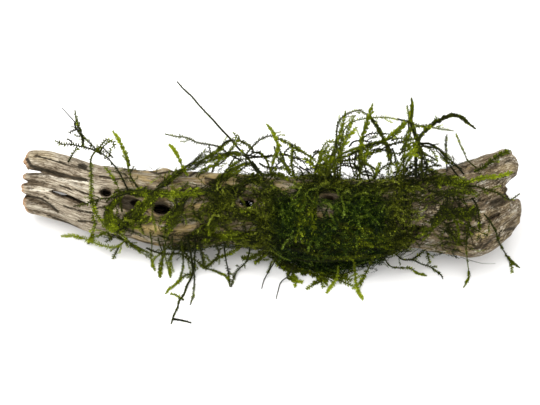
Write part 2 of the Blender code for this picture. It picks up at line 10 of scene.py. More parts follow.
import bmesh
import bpy
import numpy as np
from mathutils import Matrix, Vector


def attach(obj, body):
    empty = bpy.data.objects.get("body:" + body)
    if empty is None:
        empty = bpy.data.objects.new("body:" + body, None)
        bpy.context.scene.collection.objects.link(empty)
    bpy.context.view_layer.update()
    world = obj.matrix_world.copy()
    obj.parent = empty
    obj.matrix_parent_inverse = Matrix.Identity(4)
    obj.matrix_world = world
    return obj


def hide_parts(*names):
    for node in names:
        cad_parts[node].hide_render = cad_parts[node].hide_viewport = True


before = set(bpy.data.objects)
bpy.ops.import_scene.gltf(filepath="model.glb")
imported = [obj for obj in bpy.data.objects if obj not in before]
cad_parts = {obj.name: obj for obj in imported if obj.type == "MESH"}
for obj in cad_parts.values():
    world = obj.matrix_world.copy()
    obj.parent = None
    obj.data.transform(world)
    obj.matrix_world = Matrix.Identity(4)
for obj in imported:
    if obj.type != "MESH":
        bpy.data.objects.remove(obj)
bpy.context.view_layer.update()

MM = 0.001

# %% [markdown]
# The picture looks down on the stick. Places on it were read as (column, row) pixels, so the lesson needs
# the picture's own eye: a long lens, 60 degrees above the surface. A pixel and a depth give a point. The
# camera is made first, because it is nothing more than this eye.

# %% The picture's eye, and the camera that stands there
PIXEL = 0.3052 * MM
PICTURE_WIDTH = 540
PICTURE_MIDDLE = (270, 202.5)
LENS_MM, SENSOR_MM = 100, 36
FOCAL_PIXELS = LENS_MM / SENSOR_MM * PICTURE_WIDTH
VIEW_ELEVATION = math.radians(60)
VIEW_TARGET = np.array([0, 4.2 * MM, 13.3 * MM])
VIEW_DISTANCE = FOCAL_PIXELS * PIXEL
RIGHTWARD = np.array([1.0, 0, 0])
FACING = np.array([0, -math.cos(VIEW_ELEVATION), math.sin(VIEW_ELEVATION)])
UPWARD = np.array([0, math.sin(VIEW_ELEVATION), math.cos(VIEW_ELEVATION)])
EYE = VIEW_TARGET + FACING * VIEW_DISTANCE


def in_scene(name, data):
    """A new object in the scene that shows this mesh, lamp or camera."""
    made = bpy.data.objects.new(name, data)
    bpy.context.scene.collection.objects.link(made)
    return made


camera_data = bpy.data.cameras.new("camera")
camera_data.lens = LENS_MM
camera_data.sensor_width = SENSOR_MM
camera_data.clip_start = 10 * MM
camera = in_scene("camera", camera_data)
camera.location = EYE
camera.rotation_euler = (math.pi / 2 - VIEW_ELEVATION, 0, 0)
bpy.context.scene.camera = camera
print("camera", round(VIEW_DISTANCE / MM), "mm away")


def seen_at_depth(column, row, depth):
    """The point seen at a pixel, this far nearer to the eye than VIEW_TARGET. Arrays are welcome."""
    column, row, depth = (np.asarray(value, float)[..., None] for value in (column, row, depth))
    line = RIGHTWARD * (column - PICTURE_MIDDLE[0]) + UPWARD * (PICTURE_MIDDLE[1] - row)
    return EYE + (line - FACING * FOCAL_PIXELS) * (VIEW_DISTANCE - depth) / FOCAL_PIXELS


def pixel_of(point):
    """The column, row and depth at which the eye sees a point."""
    off = np.asarray(point, float) - EYE
    away = -(off @ FACING)
    column = PICTURE_MIDDLE[0] + off @ RIGHTWARD / away * FOCAL_PIXELS
    row = PICTURE_MIDDLE[1] - off @ UPWARD / away * FOCAL_PIXELS
    return column, row, VIEW_DISTANCE - away


# %% [markdown]
# The stick is described the way a wood turner would: where its axis runs, how thick it is there, and what
# is carved into it. These are the same places as in the part's source, repeated because a scene reads
# nothing but its frame. A smooth curve through a few of them gives the value anywhere.

# %% The stick's axis and thickness
# column, then the rows of the upper and the lower edge
OUTLINE = (
    (22, 150, 212), (48, 150.5, 217), (64, 155, 221), (92, 163, 233), (128, 168, 238), (154, 171, 246),
    (200, 173, 246), (250, 176, 249), (300, 179, 253), (400, 178, 252), (429, 173, 251), (449, 168, 254),
    (469, 161.5, 257), (489, 154.5, 251), (507, 150.5, 238), (514, 153, 232), (524, 156, 229),
)
# column and height in mm
AXIS_HEIGHTS = (
    (22, 11.0), (128, 12.0), (250, 12.8), (400, 13.0), (449, 14.0), (480, 14.9), (524, 14.6),
)
STICK_COLUMNS = (22, 520)


def curve_through(places, values):
    """A smooth curve through given values, as a function of place."""
    places = np.array(places, float)
    values = np.array(values, float)
    slopes = np.gradient(values, places)

    def value_at(place):
        place = np.clip(place, places[0], places[-1])
        i = np.clip(np.searchsorted(places, place) - 1, 0, len(places) - 2)
        step = places[i + 1] - places[i]
        t = (place - places[i]) / step
        rise = values[i] * (1 + 2 * t) * (1 - t) ** 2 + values[i + 1] * t * t * (3 - 2 * t)
        return rise + step * (slopes[i] * t * (1 - t) ** 2 - slopes[i + 1] * t * t * (1 - t))

    return value_at


def axis_curves():
    """The stick's axis and radius as functions of x, from its outline in the picture."""
    height_at = curve_through(*zip(*AXIS_HEIGHTS))
    middles, radii = [], []
    for column, top, bottom in OUTLINE:
        line = seen_at_depth(column, (top + bottom) / 2, 0) - EYE
        middle = EYE + line * (float(height_at(column)) * MM - EYE[2]) / line[2]
        middles.append(middle)
        radii.append((bottom - top) / 2 * PIXEL * ((EYE - middle) @ FACING) / VIEW_DISTANCE)
    along, across, up = np.array(middles).T
    return curve_through(along, across), curve_through(along, up), curve_through(along, radii)


AXIS_Y, AXIS_Z, AXIS_RADIUS = axis_curves()


def on_axis(x):
    """Points of the stick's axis."""
    return np.stack([x, AXIS_Y(x), AXIS_Z(x)], axis=-1)


def axis_depth(x):
    """How much nearer to the eye than VIEW_TARGET the stick's axis runs."""
    return (AXIS_Y(x) - VIEW_TARGET[1]) * FACING[1] + (AXIS_Z(x) - VIEW_TARGET[2]) * FACING[2]


def x_of_column(column, angle=90):
    """Where along X a column meets the stick's outside. At 90 degrees that is level with the axis."""
    toward = np.maximum(np.cos(np.radians(angle)), 0)
    off_middle = (np.asarray(column, float) - PICTURE_MIDDLE[0]) * PIXEL
    depth = 0.0
    for _ in range(3):
        x = off_middle * (VIEW_DISTANCE - depth) / VIEW_DISTANCE
        depth = axis_depth(x) + AXIS_RADIUS(x) * toward
    return x


def around_axis(x, angle, radius):
    """Points at an angle and a distance from the axis: 0 degrees faces the eye, 90 is the upper edge."""
    angle = np.radians(angle)[..., None]
    return on_axis(x) + (FACING * np.cos(angle) + UPWARD * np.sin(angle)) * np.asarray(radius)[..., None]


def angle_of(away):
    """The angle around the axis of ways that lead off it."""
    return np.degrees(np.arctan2(away @ UPWARD, away @ FACING))


def turned_apart(angle, other):
    """The turn from one angle to another, in degrees, between -180 and 180."""
    return (angle - other + 180) % 360 - 180


STICK_X = [float(x_of_column(column)) for column in STICK_COLUMNS]
print("stick from", STICK_X[0] / MM, "to", STICK_X[1] / MM, "mm")

# %% [markdown]
# What is carved into the stick. Cholla wood is a net: its ribs part around long holes, where the living
# stem had its spine cushions, and close again. At the left end the ribs have come loose as fingers, with
# gaps between them, and furrows run on from the gaps. All of it is listed by column and angle.

# %% Holes, finger gaps, furrows and ends
# column, angle, length and width in mm
HOLES = (
    (69, -11, 12.5, 1.4), (106, 14, 3.8, 2.4), (137, 4, 4.4, 2.8), (161, 1, 6.2, 3.4), (213, 51, 4.2, 1.9),
    (250, 16, 7.0, 3.0), (329, 32, 4.8, 2.6), (468, -4, 4.8, 4.4), (494, -17, 4.4, 1.9),
    (205, -32, 5.6, 2.8), (292, -16, 6.0, 3.0), (370, 0, 6.0, 3.0), (415, -26, 6.0, 3.0),
    (120, 100, 6.0, 3.0), (112, -165, 5.6, 2.8), (54, -166, 7.5, 2.2), (152, 152, 6.0, 3.0),
    (140, -108, 5.6, 2.8), (180, -150, 6.0, 3.0), (194, 108, 6.0, 3.0), (244, 163, 6.5, 3.2),
    (228, -104, 6.0, 3.0), (268, 116, 6.0, 3.0), (290, -152, 6.0, 3.0), (314, 158, 6.0, 3.0),
    (338, 106, 6.0, 3.0), (352, -108, 6.0, 3.0), (376, -158, 6.0, 3.0), (398, 142, 6.0, 3.0),
    (428, 96, 5.6, 3.0), (440, -118, 6.0, 3.2), (456, 172, 7.0, 3.6), (480, 118, 6.0, 3.4),
)
HOLES_IN_SIGHT = 9
# angle, the column where the gap closes, width in mm
FINGER_GAPS = (
    (23, 43, 1.6), (0, 29, 1.0), (-31, 31, 1.2), (-76, 40, 2.0), (-118, 46, 2.0), (-160, 42, 2.0),
    (156, 48, 2.2), (98, 40, 1.8),
)
# column and angle at both ends, width and depth in mm
FURROWS = (
    (16, 23, 92, 24, 1.1, 1.2), (16, 0, 60, -2, 0.9, 0.9), (16, -31, 66, -53, 1.3, 1.2),
    (16, -76, 90, -70, 1.4, 1.1), (16, 98, 84, 88, 1.4, 1.1), (16, 156, 96, 148, 1.6, 1.3),
    (16, -118, 96, -126, 1.5, 1.2), (16, -160, 84, -166, 1.4, 1.2), (76, -47, 98, -44, 0.9, 0.8),
    (478, 5, 512, 6, 1.5, 1.2), (440, 62, 505, 52, 1.4, 0.8), (446, -52, 500, -48, 1.6, 0.9),
)
FURROWS_IN_FRONT = 3
# column, angle, spread and rise in mm
KNOB = (165, 74, 2.6, 1.5)
# column, angle, half its columns, half its degrees, depth in mm
DENTS = ((240, -95, 28, 36, 1.3), (414, -92, 11, 30, 1.2))
# angle and column of the edge
RIGHT_END = (
    (-180, 512), (-140, 516), (-110, 513), (-85, 509), (-62, 514), (-52, 520), (-43, 521), (-12, 521),
    (-7, 511), (2, 506), (12, 505), (19, 507), (26, 514), (33, 519), (46, 519.5), (56, 516), (80, 511),
    (110, 514), (140, 517), (165, 512), (180, 512),
)
WALL = 2.9 * MM
LEAST_BORE = 5.6 * MM
HOLE_LIP_DEPTH, HOLE_LIP_REACH = 0.75 * MM, 2.1
FURROW_FADE, FURROW_START = 2.5, 3 * MM


def placed(rows):
    """Rows of column, angle and more, with the column turned into a place along X."""
    return tuple((float(x_of_column(*row[:2])), *row[1:]) for row in rows)


def edge_places(rows):
    """Rows of angle and column as a list of angles and a list of places along X."""
    return [angle for angle, _ in rows], [float(x_of_column(column, angle)) for angle, column in rows]


KNOB_X = float(x_of_column(*KNOB[:2]))
DENT_PLACES = placed(DENTS)
HOLE_PLACES = placed(HOLES)
FURROW_PLACES = tuple((*row[:2], float(x_of_column(*row[2:4])), *row[3:]) for row in placed(FURROWS))
RIGHT_END_PLACES = edge_places(RIGHT_END)


def off_middle_of_oval(x, angle, middle, at_angle, columns, degrees):
    """How far places lie from the middle of an oval patch, squared: 0 there and 1 on its edge."""
    return ((x - middle) / (columns * PIXEL)) ** 2 + (turned_apart(angle, at_angle) / degrees) ** 2


def knobbly_radius(x, angle):
    """The stick's radius with its knob and dents, before holes and furrows are sunk into it."""
    radius = AXIS_RADIUS(x)
    _, at_angle, spread, rise = KNOB
    off = np.hypot(x - KNOB_X, np.radians(turned_apart(angle, at_angle)) * radius)
    radius = radius + rise * MM * np.exp(-((off / (spread * MM)) ** 2))
    for *oval, depth in DENT_PLACES:
        radius = radius - depth * MM * np.exp(-off_middle_of_oval(x, angle, *oval))
    return radius


def beside_furrow(x, angle, furrow, radius):
    """How far along a furrow places lie, from 0 to 1, and how far beside it on a stick of this radius."""
    start, at_angle, end, far_angle, *_ = furrow
    part = np.clip((x - start) / (end - start), 0, 1)
    return part, np.radians(turned_apart(angle, at_angle + (far_angle - at_angle) * part)) * radius


def sunk_depth(x, angle):
    """How deep the furrows and the lips of the holes lie under the stick's radius."""
    radius = AXIS_RADIUS(x)
    sunk = np.zeros_like(radius)
    for middle, at_angle, length, width in HOLE_PLACES:
        along = (x - middle) / (length * MM / 2)
        across = np.radians(turned_apart(angle, at_angle)) * radius / (width * MM / 2)
        sunk = sunk + HOLE_LIP_DEPTH * np.exp(-((along**2 + across**2) / HOLE_LIP_REACH))
    for furrow in FURROW_PLACES:
        start, _, end, _, width, depth = furrow
        _, across = beside_furrow(x, angle, furrow, radius)
        fade = np.clip((end - x) / (end - start) * FURROW_FADE, 0, 1)
        fade = fade * np.clip((x - start) / FURROW_START + 1, 0, 1)
        sunk = sunk + depth * MM * fade * np.exp(-((across / (width * MM)) ** 2))
    return sunk


print(len(HOLES), "holes,", len(FINGER_GAPS), "gaps and", len(FURROWS), "furrows")

# %% [markdown]
# Weathered wood is ridged along its fibres. A small lattice of random numbers, smoothly filled in between,
# gives bumps of any length and width, and it closes on itself around the stick, so no seam shows.

# %% Bumps that run along the grain
CHANCE = np.random.default_rng(7)
LATTICE_START, LATTICE_LENGTH = -0.085, 0.17


def grain_bumps(x, angle, length, turns):
    """Random bumps between -1 and 1: length along the stick, and this many of them around it."""
    rows = int(LATTICE_LENGTH / length) + 4
    lattice = CHANCE.uniform(-1, 1, (rows, turns))
    i = (x - LATTICE_START) / length
    j = (angle + 180) / 360 * turns
    i0, j0 = np.floor(i).astype(int) % rows, np.floor(j).astype(int) % turns
    i1, j1 = (i0 + 1) % rows, (j0 + 1) % turns
    fi, fj = i - np.floor(i), j - np.floor(j)
    fi, fj = fi * fi * (3 - 2 * fi), fj * fj * (3 - 2 * fj)
    near = lattice[i0, j0] * (1 - fj) + lattice[i0, j1] * fj
    far = lattice[i1, j0] * (1 - fj) + lattice[i1, j1] * fj
    return near * (1 - fi) + far * fi


print("one bump:", float(grain_bumps(np.array([0.0]), np.array([0.0]), 5 * MM, 40)[0]))

# %% [markdown]
# The stick could be a tube with holes cut by Booleans, but a cut ignores the grain. Here a flat grid is
# slit where each hole will be, bent round into a tube, and its slits are pulled open, so the rows of
# faces, and with them the grain, flow around the holes as the ribs do. Extruding the sheet inwards gives
# the wall its thickness, and makes the rim of each hole on the way.

# %% A slit grid, one row of faces per strip of fibres
WOOD_ROWS, WOOD_STRIPS = 300, 128
ROWS_FROM, ROWS_TO = x_of_column(24.0), x_of_column(515.0)
FINGERS_FROM = STICK_X[0] + 1 * MM


def slit_rows(start, end):
    """The grid rows between two places along the stick."""
    first, last = (np.array([start, end]) - ROWS_FROM) / (ROWS_TO - ROWS_FROM) * WOOD_ROWS
    return max(0, round(first)), min(WOOD_ROWS, round(last))


def slit(middle, angle, half_length, width):
    """A slit's middle, its strip, half its size in metres, and its first and last row."""
    at_strip = round((angle / 360 + 0.5) * WOOD_STRIPS) % WOOD_STRIPS
    rows = slit_rows(middle - half_length, middle + half_length)
    return middle, at_strip, half_length, width * MM / 2, *rows


SLITS = [slit(middle, angle, length * MM / 2, width) for middle, angle, length, width in HOLE_PLACES]
for angle, closes_at, width in FINGER_GAPS:
    SLITS.append(slit(FINGERS_FROM, angle, float(x_of_column(closes_at, angle)) - FINGERS_FROM, width))


def slit_sheet():
    """A flat grid with its slits."""
    bm = bmesh.new()
    bmesh.ops.create_grid(bm, x_segments=WOOD_ROWS, y_segments=WOOD_STRIPS, size=0.5)
    row_of = {vert: round((vert.co.x + 0.5) * WOOD_ROWS) for vert in bm.verts}
    strip_of = {vert: round((vert.co.y + 0.5) * WOOD_STRIPS) for vert in bm.verts}
    cuts = {(row, at_strip) for _, at_strip, _, _, first, last in SLITS for row in range(first, last)}
    slits = []
    for edge in bm.edges:
        one, other = edge.verts
        place = (min(row_of[one], row_of[other]), strip_of[one])
        if strip_of[one] == strip_of[other] and place in cuts:
            slits.append(edge)
    bmesh.ops.split_edges(bm, edges=slits)
    return bm


sheet = slit_sheet()
shell = bmesh.ops.extrude_face_region(sheet, geom=list(sheet.faces))
inside = {item for item in shell["geom"] if isinstance(item, bmesh.types.BMVert)}
print(len(SLITS), "slits in a sheet of", len(sheet.faces), "faces")

# %% [markdown]
# The sheet's two directions become the length of the stick and the way around it. Both layers are bent
# alike, and only their distance from the axis will differ. A vertex on a slit must know which lip it is
# on, and the faces beside it tell. The left end stops in blunt fingers, the right end in two broad lobes.

# %% Where each vertex of the sheet goes
# angle at which a finger begins, and the column where it ends
FINGER_TIPS = (
    (-204, 24), (-160, 23), (-118, 24.5), (-76, 22.5), (-31, 20), (0, 21.5), (23, 24.5), (98, 23),
)
TIP_ROUNDING, TIP_BLUNTNESS = 1.5 * MM, 3.5
SLIT_ROUNDNESS = 0.9
LEAST_PUSH_REACH = 2.6 * MM
RIM_WIDTH = 0.45 * MM
TINY = 1e-6
HALF_SHEET = 0.5


def lip_side(vert):
    """1 above a slit, -1 below it and 0 away from slits, told by the faces in the vertex's own layer."""
    own = [face for face in vert.link_faces
           if all((other in inside) == (vert in inside) for other in face.verts)]
    middle = sum(face.calc_center_median().y for face in own) / len(own)
    return (middle > vert.co.y + TINY) - (middle < vert.co.y - TINY)


seam = [face for face in sheet.faces if all(abs(vert.co.y) > HALF_SHEET - TINY for vert in face.verts)]
is_inside = np.array([vert in inside for vert in sheet.verts])
side = np.array([lip_side(vert) for vert in sheet.verts])
flat = np.array([vert.co for vert in sheet.verts])
part_along = flat[:, 0] + HALF_SHEET
strip = np.round((flat[:, 1] + HALF_SHEET) * WOOD_STRIPS)
raw_angle = flat[:, 1] * 360


def open_slits(x, angle, strips, sides):
    """Angles moved apart around each slit, and how near each vertex is to a rim, from 0 to 1."""
    moved = angle.copy()
    rim = np.zeros_like(angle)
    radius = AXIS_RADIUS(x)
    for middle, at_strip, half_length, half_width, _, _ in SLITS:
        along = (x - middle) / half_length
        window = np.clip(1 - along**2, 0, 1) ** SLIT_ROUNDNESS
        across = turned_apart(angle, (at_strip / WOOD_STRIPS - 0.5) * 360)
        direction = np.where(strips % WOOD_STRIPS == at_strip, sides, np.sign(across))
        distance = np.abs(np.radians(across)) * radius
        push = half_width * window * np.exp(-distance / max(LEAST_PUSH_REACH, 1.5 * half_width))
        moved = moved + direction * np.degrees(push / radius)
        rim = np.maximum(rim, np.clip(window * 3, 0, 1) * np.exp(-((distance / RIM_WIDTH) ** 2)))
    return moved, rim


def finger_ends(angle):
    """Where the blunt fingers of the left end stop. Each runs from its angle to the next one's."""
    end = np.zeros_like(angle)
    stops_at = [at_angle for at_angle, _ in FINGER_TIPS[1:]] + [FINGER_TIPS[0][0] + 360]
    for (from_angle, column), to_angle in zip(FINGER_TIPS, stops_at):
        tip_x = x_of_column(column, (from_angle + to_angle) / 2)
        for turn in (0, 360):
            across = np.abs(2 * (angle - turn - from_angle) / (to_angle - from_angle) - 1)
            end = np.where(across <= 1, tip_x + TIP_ROUNDING * across**TIP_BLUNTNESS, end)
    return end


left_x = finger_ends(raw_angle) + 0.4 * MM * grain_bumps(0 * raw_angle, raw_angle, 9 * MM, 40)
right_x = np.interp(raw_angle, *RIGHT_END_PLACES)
right_x = right_x + 0.6 * MM * grain_bumps(0 * raw_angle, raw_angle, 9 * MM, 50)
wood_x = left_x + (right_x - left_x) * part_along
wood_angle, rim = open_slits(wood_x, raw_angle, strip, side)
print("rim vertices:", int((rim > 0.5).sum()))

# %% [markdown]
# The outside follows the carved radius plus bumps of several sizes: broad swells, strands of fibres, fine
# grain, pits, and gnarls towards the right end. The furrows in front are cut once more, as they show
# most. The fingers thin towards their rounded tips, and the rims of the holes roll inwards.

# %% Shape the wall
SOFTENED = 0.75
LEFT_TAPER, RIGHT_TAPER, RIGHT_TAPER_SHARE = 2.4 * MM, 1.6 * MM, 0.8
GNARLED_FROM, GNARLED_OVER = 36 * MM, 14 * MM
# how high each kind of bump stands on the outside, and two of them in the bore, in mm
SWELL, STRAND, FIBRE, GNARL, PIT = 0.30, 0.36, 0.20, 0.5, -0.6
BORE_SWELL, BORE_STRAND = 0.35, 0.3
RIM_ROLL, TIP_THINNING = 0.45 * MM, 1.15 * MM
BORE_RIM_ROLL, BORE_THINNING = 0.5 * MM, 0.9 * MM
MOST_RISE = 0.40 * MM
# how dark the bore is painted: painted shade inside the hollow
BORE_SHADE = 1.7
GRAIN_RADIUS_MM = 11

sunk = SOFTENED * sunk_depth(wood_x, wood_angle)
for furrow in FURROW_PLACES[:FURROWS_IN_FRONT]:
    *_, width, depth = furrow
    part, across = beside_furrow(wood_x, wood_angle, furrow, GRAIN_RADIUS_MM * MM)
    fade = np.clip(2.2 - 2.2 * part, 0, 1)
    sunk = sunk + 0.8 * depth * MM * fade * np.exp(-((across / (1.1 * width * MM)) ** 2))

swell = grain_bumps(wood_x, wood_angle, 11 * MM, 9)
strands = grain_bumps(wood_x, wood_angle, 13 * MM, 46)
fibres = grain_bumps(wood_x, raw_angle, 5 * MM, 64)
pits = np.clip(grain_bumps(wood_x, wood_angle, 2.2 * MM, 40) - 0.45, 0, 1)
gnarls = np.clip((wood_x - GNARLED_FROM) / GNARLED_OVER, 0, 1) * grain_bumps(wood_x, wood_angle, 3.4 * MM, 26)
near_left = np.clip(1 - (wood_x - left_x) / LEFT_TAPER, 0, 1)
near_right = np.clip(1 - (right_x - wood_x) / RIGHT_TAPER, 0, 1)
taper = 1 - np.sqrt(np.clip(1 - np.maximum(near_left, RIGHT_TAPER_SHARE * near_right) ** 2, 0, 1))

smooth = knobbly_radius(wood_x, wood_angle)
outer = smooth - sunk
outer = outer + (SWELL * swell + STRAND * strands + FIBRE * fibres + GNARL * gnarls + PIT * pits) * MM
outer = outer - RIM_ROLL * rim**2 - TIP_THINNING * taper
outer = np.minimum(outer, smooth + MOST_RISE)
bore = np.maximum(AXIS_RADIUS(wood_x) - WALL, LEAST_BORE)
bore = bore + (BORE_SWELL * swell + BORE_STRAND * strands) * MM
bore = bore + BORE_RIM_ROLL * rim**2 + BORE_THINNING * taper
for vert, place in zip(sheet.verts, around_axis(wood_x, wood_angle, np.where(is_inside, bore, outer))):
    vert.co = place
bmesh.ops.delete(sheet, geom=seam, context="FACES_ONLY")

# the third grain number paints light and shade by relief: painted shade in the furrows, on the hole rims, in
# pits and over the whole bore, and painted light on raised strands and gnarls
grain_layer = sheet.verts.layers.float_vector.new("grain")
relief_shade_and_light = np.where(
    is_inside, BORE_SHADE, sunk / MM + 1.0 * rim + 1.3 * pits - 0.35 * strands - 0.5 * gnarls)
grain = np.stack([wood_x / MM, np.radians(raw_angle) * GRAIN_RADIUS_MM, relief_shade_and_light], axis=1)
for vert, values in zip(sheet.verts, grain):
    vert[grain_layer] = values
bmesh.ops.remove_doubles(sheet, verts=sheet.verts, dist=1e-7)
bmesh.ops.recalc_face_normals(sheet, faces=sheet.faces)
wood_mesh = bpy.data.meshes.new("wood_skeleton")
sheet.to_mesh(wood_mesh)
sheet.free()
wood_mesh.shade_smooth()
wood = in_scene("wood_skeleton", wood_mesh)
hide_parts("cholla_wood")
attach(wood, "root")
print("wood:", len(wood_mesh.polygons), "faces")

# %% [markdown]
# Materials are sums. Rather than wiring boxes by hand, a small class wraps a socket so that ordinary
# Python arithmetic adds the Math nodes, and one method adds any other node with its settings and sockets.

# %% Sockets that can be added and multiplied
class Wire:
    """A node's output, which can be used in arithmetic."""

    def __init__(self, finish, socket):
        self.finish, self.socket = finish, socket

    def math(self, operation, first, second):
        return self.finish.node("ShaderNodeMath", {"operation": operation}, {0: first, 1: second})

    def __add__(self, other):
        return self.math("ADD", self, other)

    def __radd__(self, other):
        return self.math("ADD", other, self)

    def __sub__(self, other):
        return self.math("SUBTRACT", self, other)

    def __rsub__(self, other):
        return self.math("SUBTRACT", other, self)

    def __mul__(self, other):
        return self.math("MULTIPLY", self, other)

    def __rmul__(self, other):
        return self.math("MULTIPLY", other, self)

    def at_most(self, other):
        return self.math("MINIMUM", self, other)

    def within(self, low, high):
        """0 up to low, 1 from high on, and smooth between."""
        return self.finish.node(
            "ShaderNodeMapRange", {"interpolation_type": "SMOOTHSTEP"},
            {"Value": self, "From Min": low, "From Max": high})


def set_stops(elements, stops):
    """Gives a ramp its stops, each a value and the colour there, in rising order."""
    for at, _ in stops[1:-1]:
        elements.new(at)
    for element, (at, colour) in zip(elements, stops):
        element.position = at
        element.color = (*colour, 1)


class Finish:
    """A material under construction."""

    def __init__(self, name):
        self.material = bpy.data.materials.new(name)
        self.material.use_nodes = True
        self.tree = self.material.node_tree
        self.shader = self.tree.nodes["Principled BSDF"]

    def give(self, socket, value):
        """Sets a socket to a constant, or links a wire to it."""
        if isinstance(value, Wire):
            self.tree.links.new(value.socket, socket)
        else:
            socket.default_value = value

    def node(self, kind, settings, inputs, output=0):
        """Any node with its settings, a ramp's stops too, and its sockets. Gives one of its outputs."""
        made = self.tree.nodes.new(kind)
        for key, value in settings.items():
            if key == "stops":
                set_stops(made.color_ramp.elements, value)
            else:
                setattr(made, key, value)
        for key, value in inputs.items():
            self.give(made.inputs[key], value)
        return Wire(self, made.outputs[output])

    def ramp(self, value, *stops):
        """A colour that runs through these stops as a value rises."""
        return self.node("ShaderNodeValToRGB", {"stops": stops}, {0: value})

    def mix(self, factor, one, other, blend="MIX"):
        """One colour turning into another."""
        one, other = (value if isinstance(value, Wire) else (*value, 1) for value in (one, other))
        settings = {"data_type": "RGBA", "blend_type": blend}
        return self.node("ShaderNodeMix", settings, {"Factor": factor, 6: one, 7: other}, 2)

    def noise(self, vector, scale, detail=3, rough=0.55):
        """Cloudy values around a half."""
        inputs = {"Vector": vector, "Scale": scale, "Detail": detail, "Roughness": rough}
        return self.node("ShaderNodeTexNoise", {}, inputs)

    def fibrous(self, place, along, around, detail, rough=0.55):
        """Noise over the grain, this fine along it and around it."""
        scaled = self.node("ShaderNodeMapping", {}, {"Vector": place, "Scale": (along, around, 0)})
        return self.noise(scaled, 1.0, detail, rough)

    def place(self):
        """Where a point of the object lies in its own space."""
        return self.node("ShaderNodeTexCoord", {}, {}, 3)

    def held(self, name):
        """The three numbers that a mesh holds for each vertex under this name, and all of them."""
        whole = self.node("ShaderNodeAttribute", {"attribute_name": name}, {}, 1)
        return whole, *self.split(whole)

    def split(self, whole):
        """The three parts of a vector."""
        made = self.node("ShaderNodeSeparateXYZ", {}, {0: whole})
        return [Wire(self, socket) for socket in made.socket.node.outputs]

    def bump(self, height, strength, distance):
        inputs = {"Strength": strength, "Distance": distance, "Height": height}
        return self.node("ShaderNodeBump", {}, inputs)

    def done(self, colour, roughness, normal, shine=0.5):
        """The material, with its shader's sockets filled."""
        inputs = {"Base Color": colour, "Roughness": roughness, "Normal": normal, "Specular IOR Level": shine}
        for name, value in inputs.items():
            self.give(self.shader.inputs[name], value)
        return self.material


print("arithmetic and", sum(callable(value) for value in vars(Finish).values()), "helpers for materials")

# %% [markdown]
# Old cholla wood is silvery tan, with dark brown in its pores and thin cracks running along the fibres,
# and the right end is gnarled. The loose fingertips are orange brown. Painted shade darkens the furrows,
# the holes, the hollows and the bore, painted highlights turn the ribs beside the front furrows cream, and
# the wood under the moss is darker, partly wet stain and partly painted shade. The mesh carries each
# vertex's place along and around the grain, so the streaks follow the fibres around every hole.

# %% The finish of the wood
HIGHLIGHT_CREAM, GOLD, PALE_KNOT = (0.84, 0.78, 0.64), (0.62, 0.48, 0.19), (0.80, 0.76, 0.66)
OCHRE, ORANGE, MOSS_STAIN_AND_SHADE = (0.36, 0.25, 0.09), (0.50, 0.24, 0.09), (0.050, 0.046, 0.018)
# dark browns of the grain, which also paint shade, and the deepest painted shade over hollows
GRAIN_AND_SHADE_BLACK, GRAIN_AND_SHADE_BROWN, DEEPEST_SHADE = (0.012, 0.008, 0.004), (0.20, 0.145, 0.088), (0.008, 0.006, 0.002)


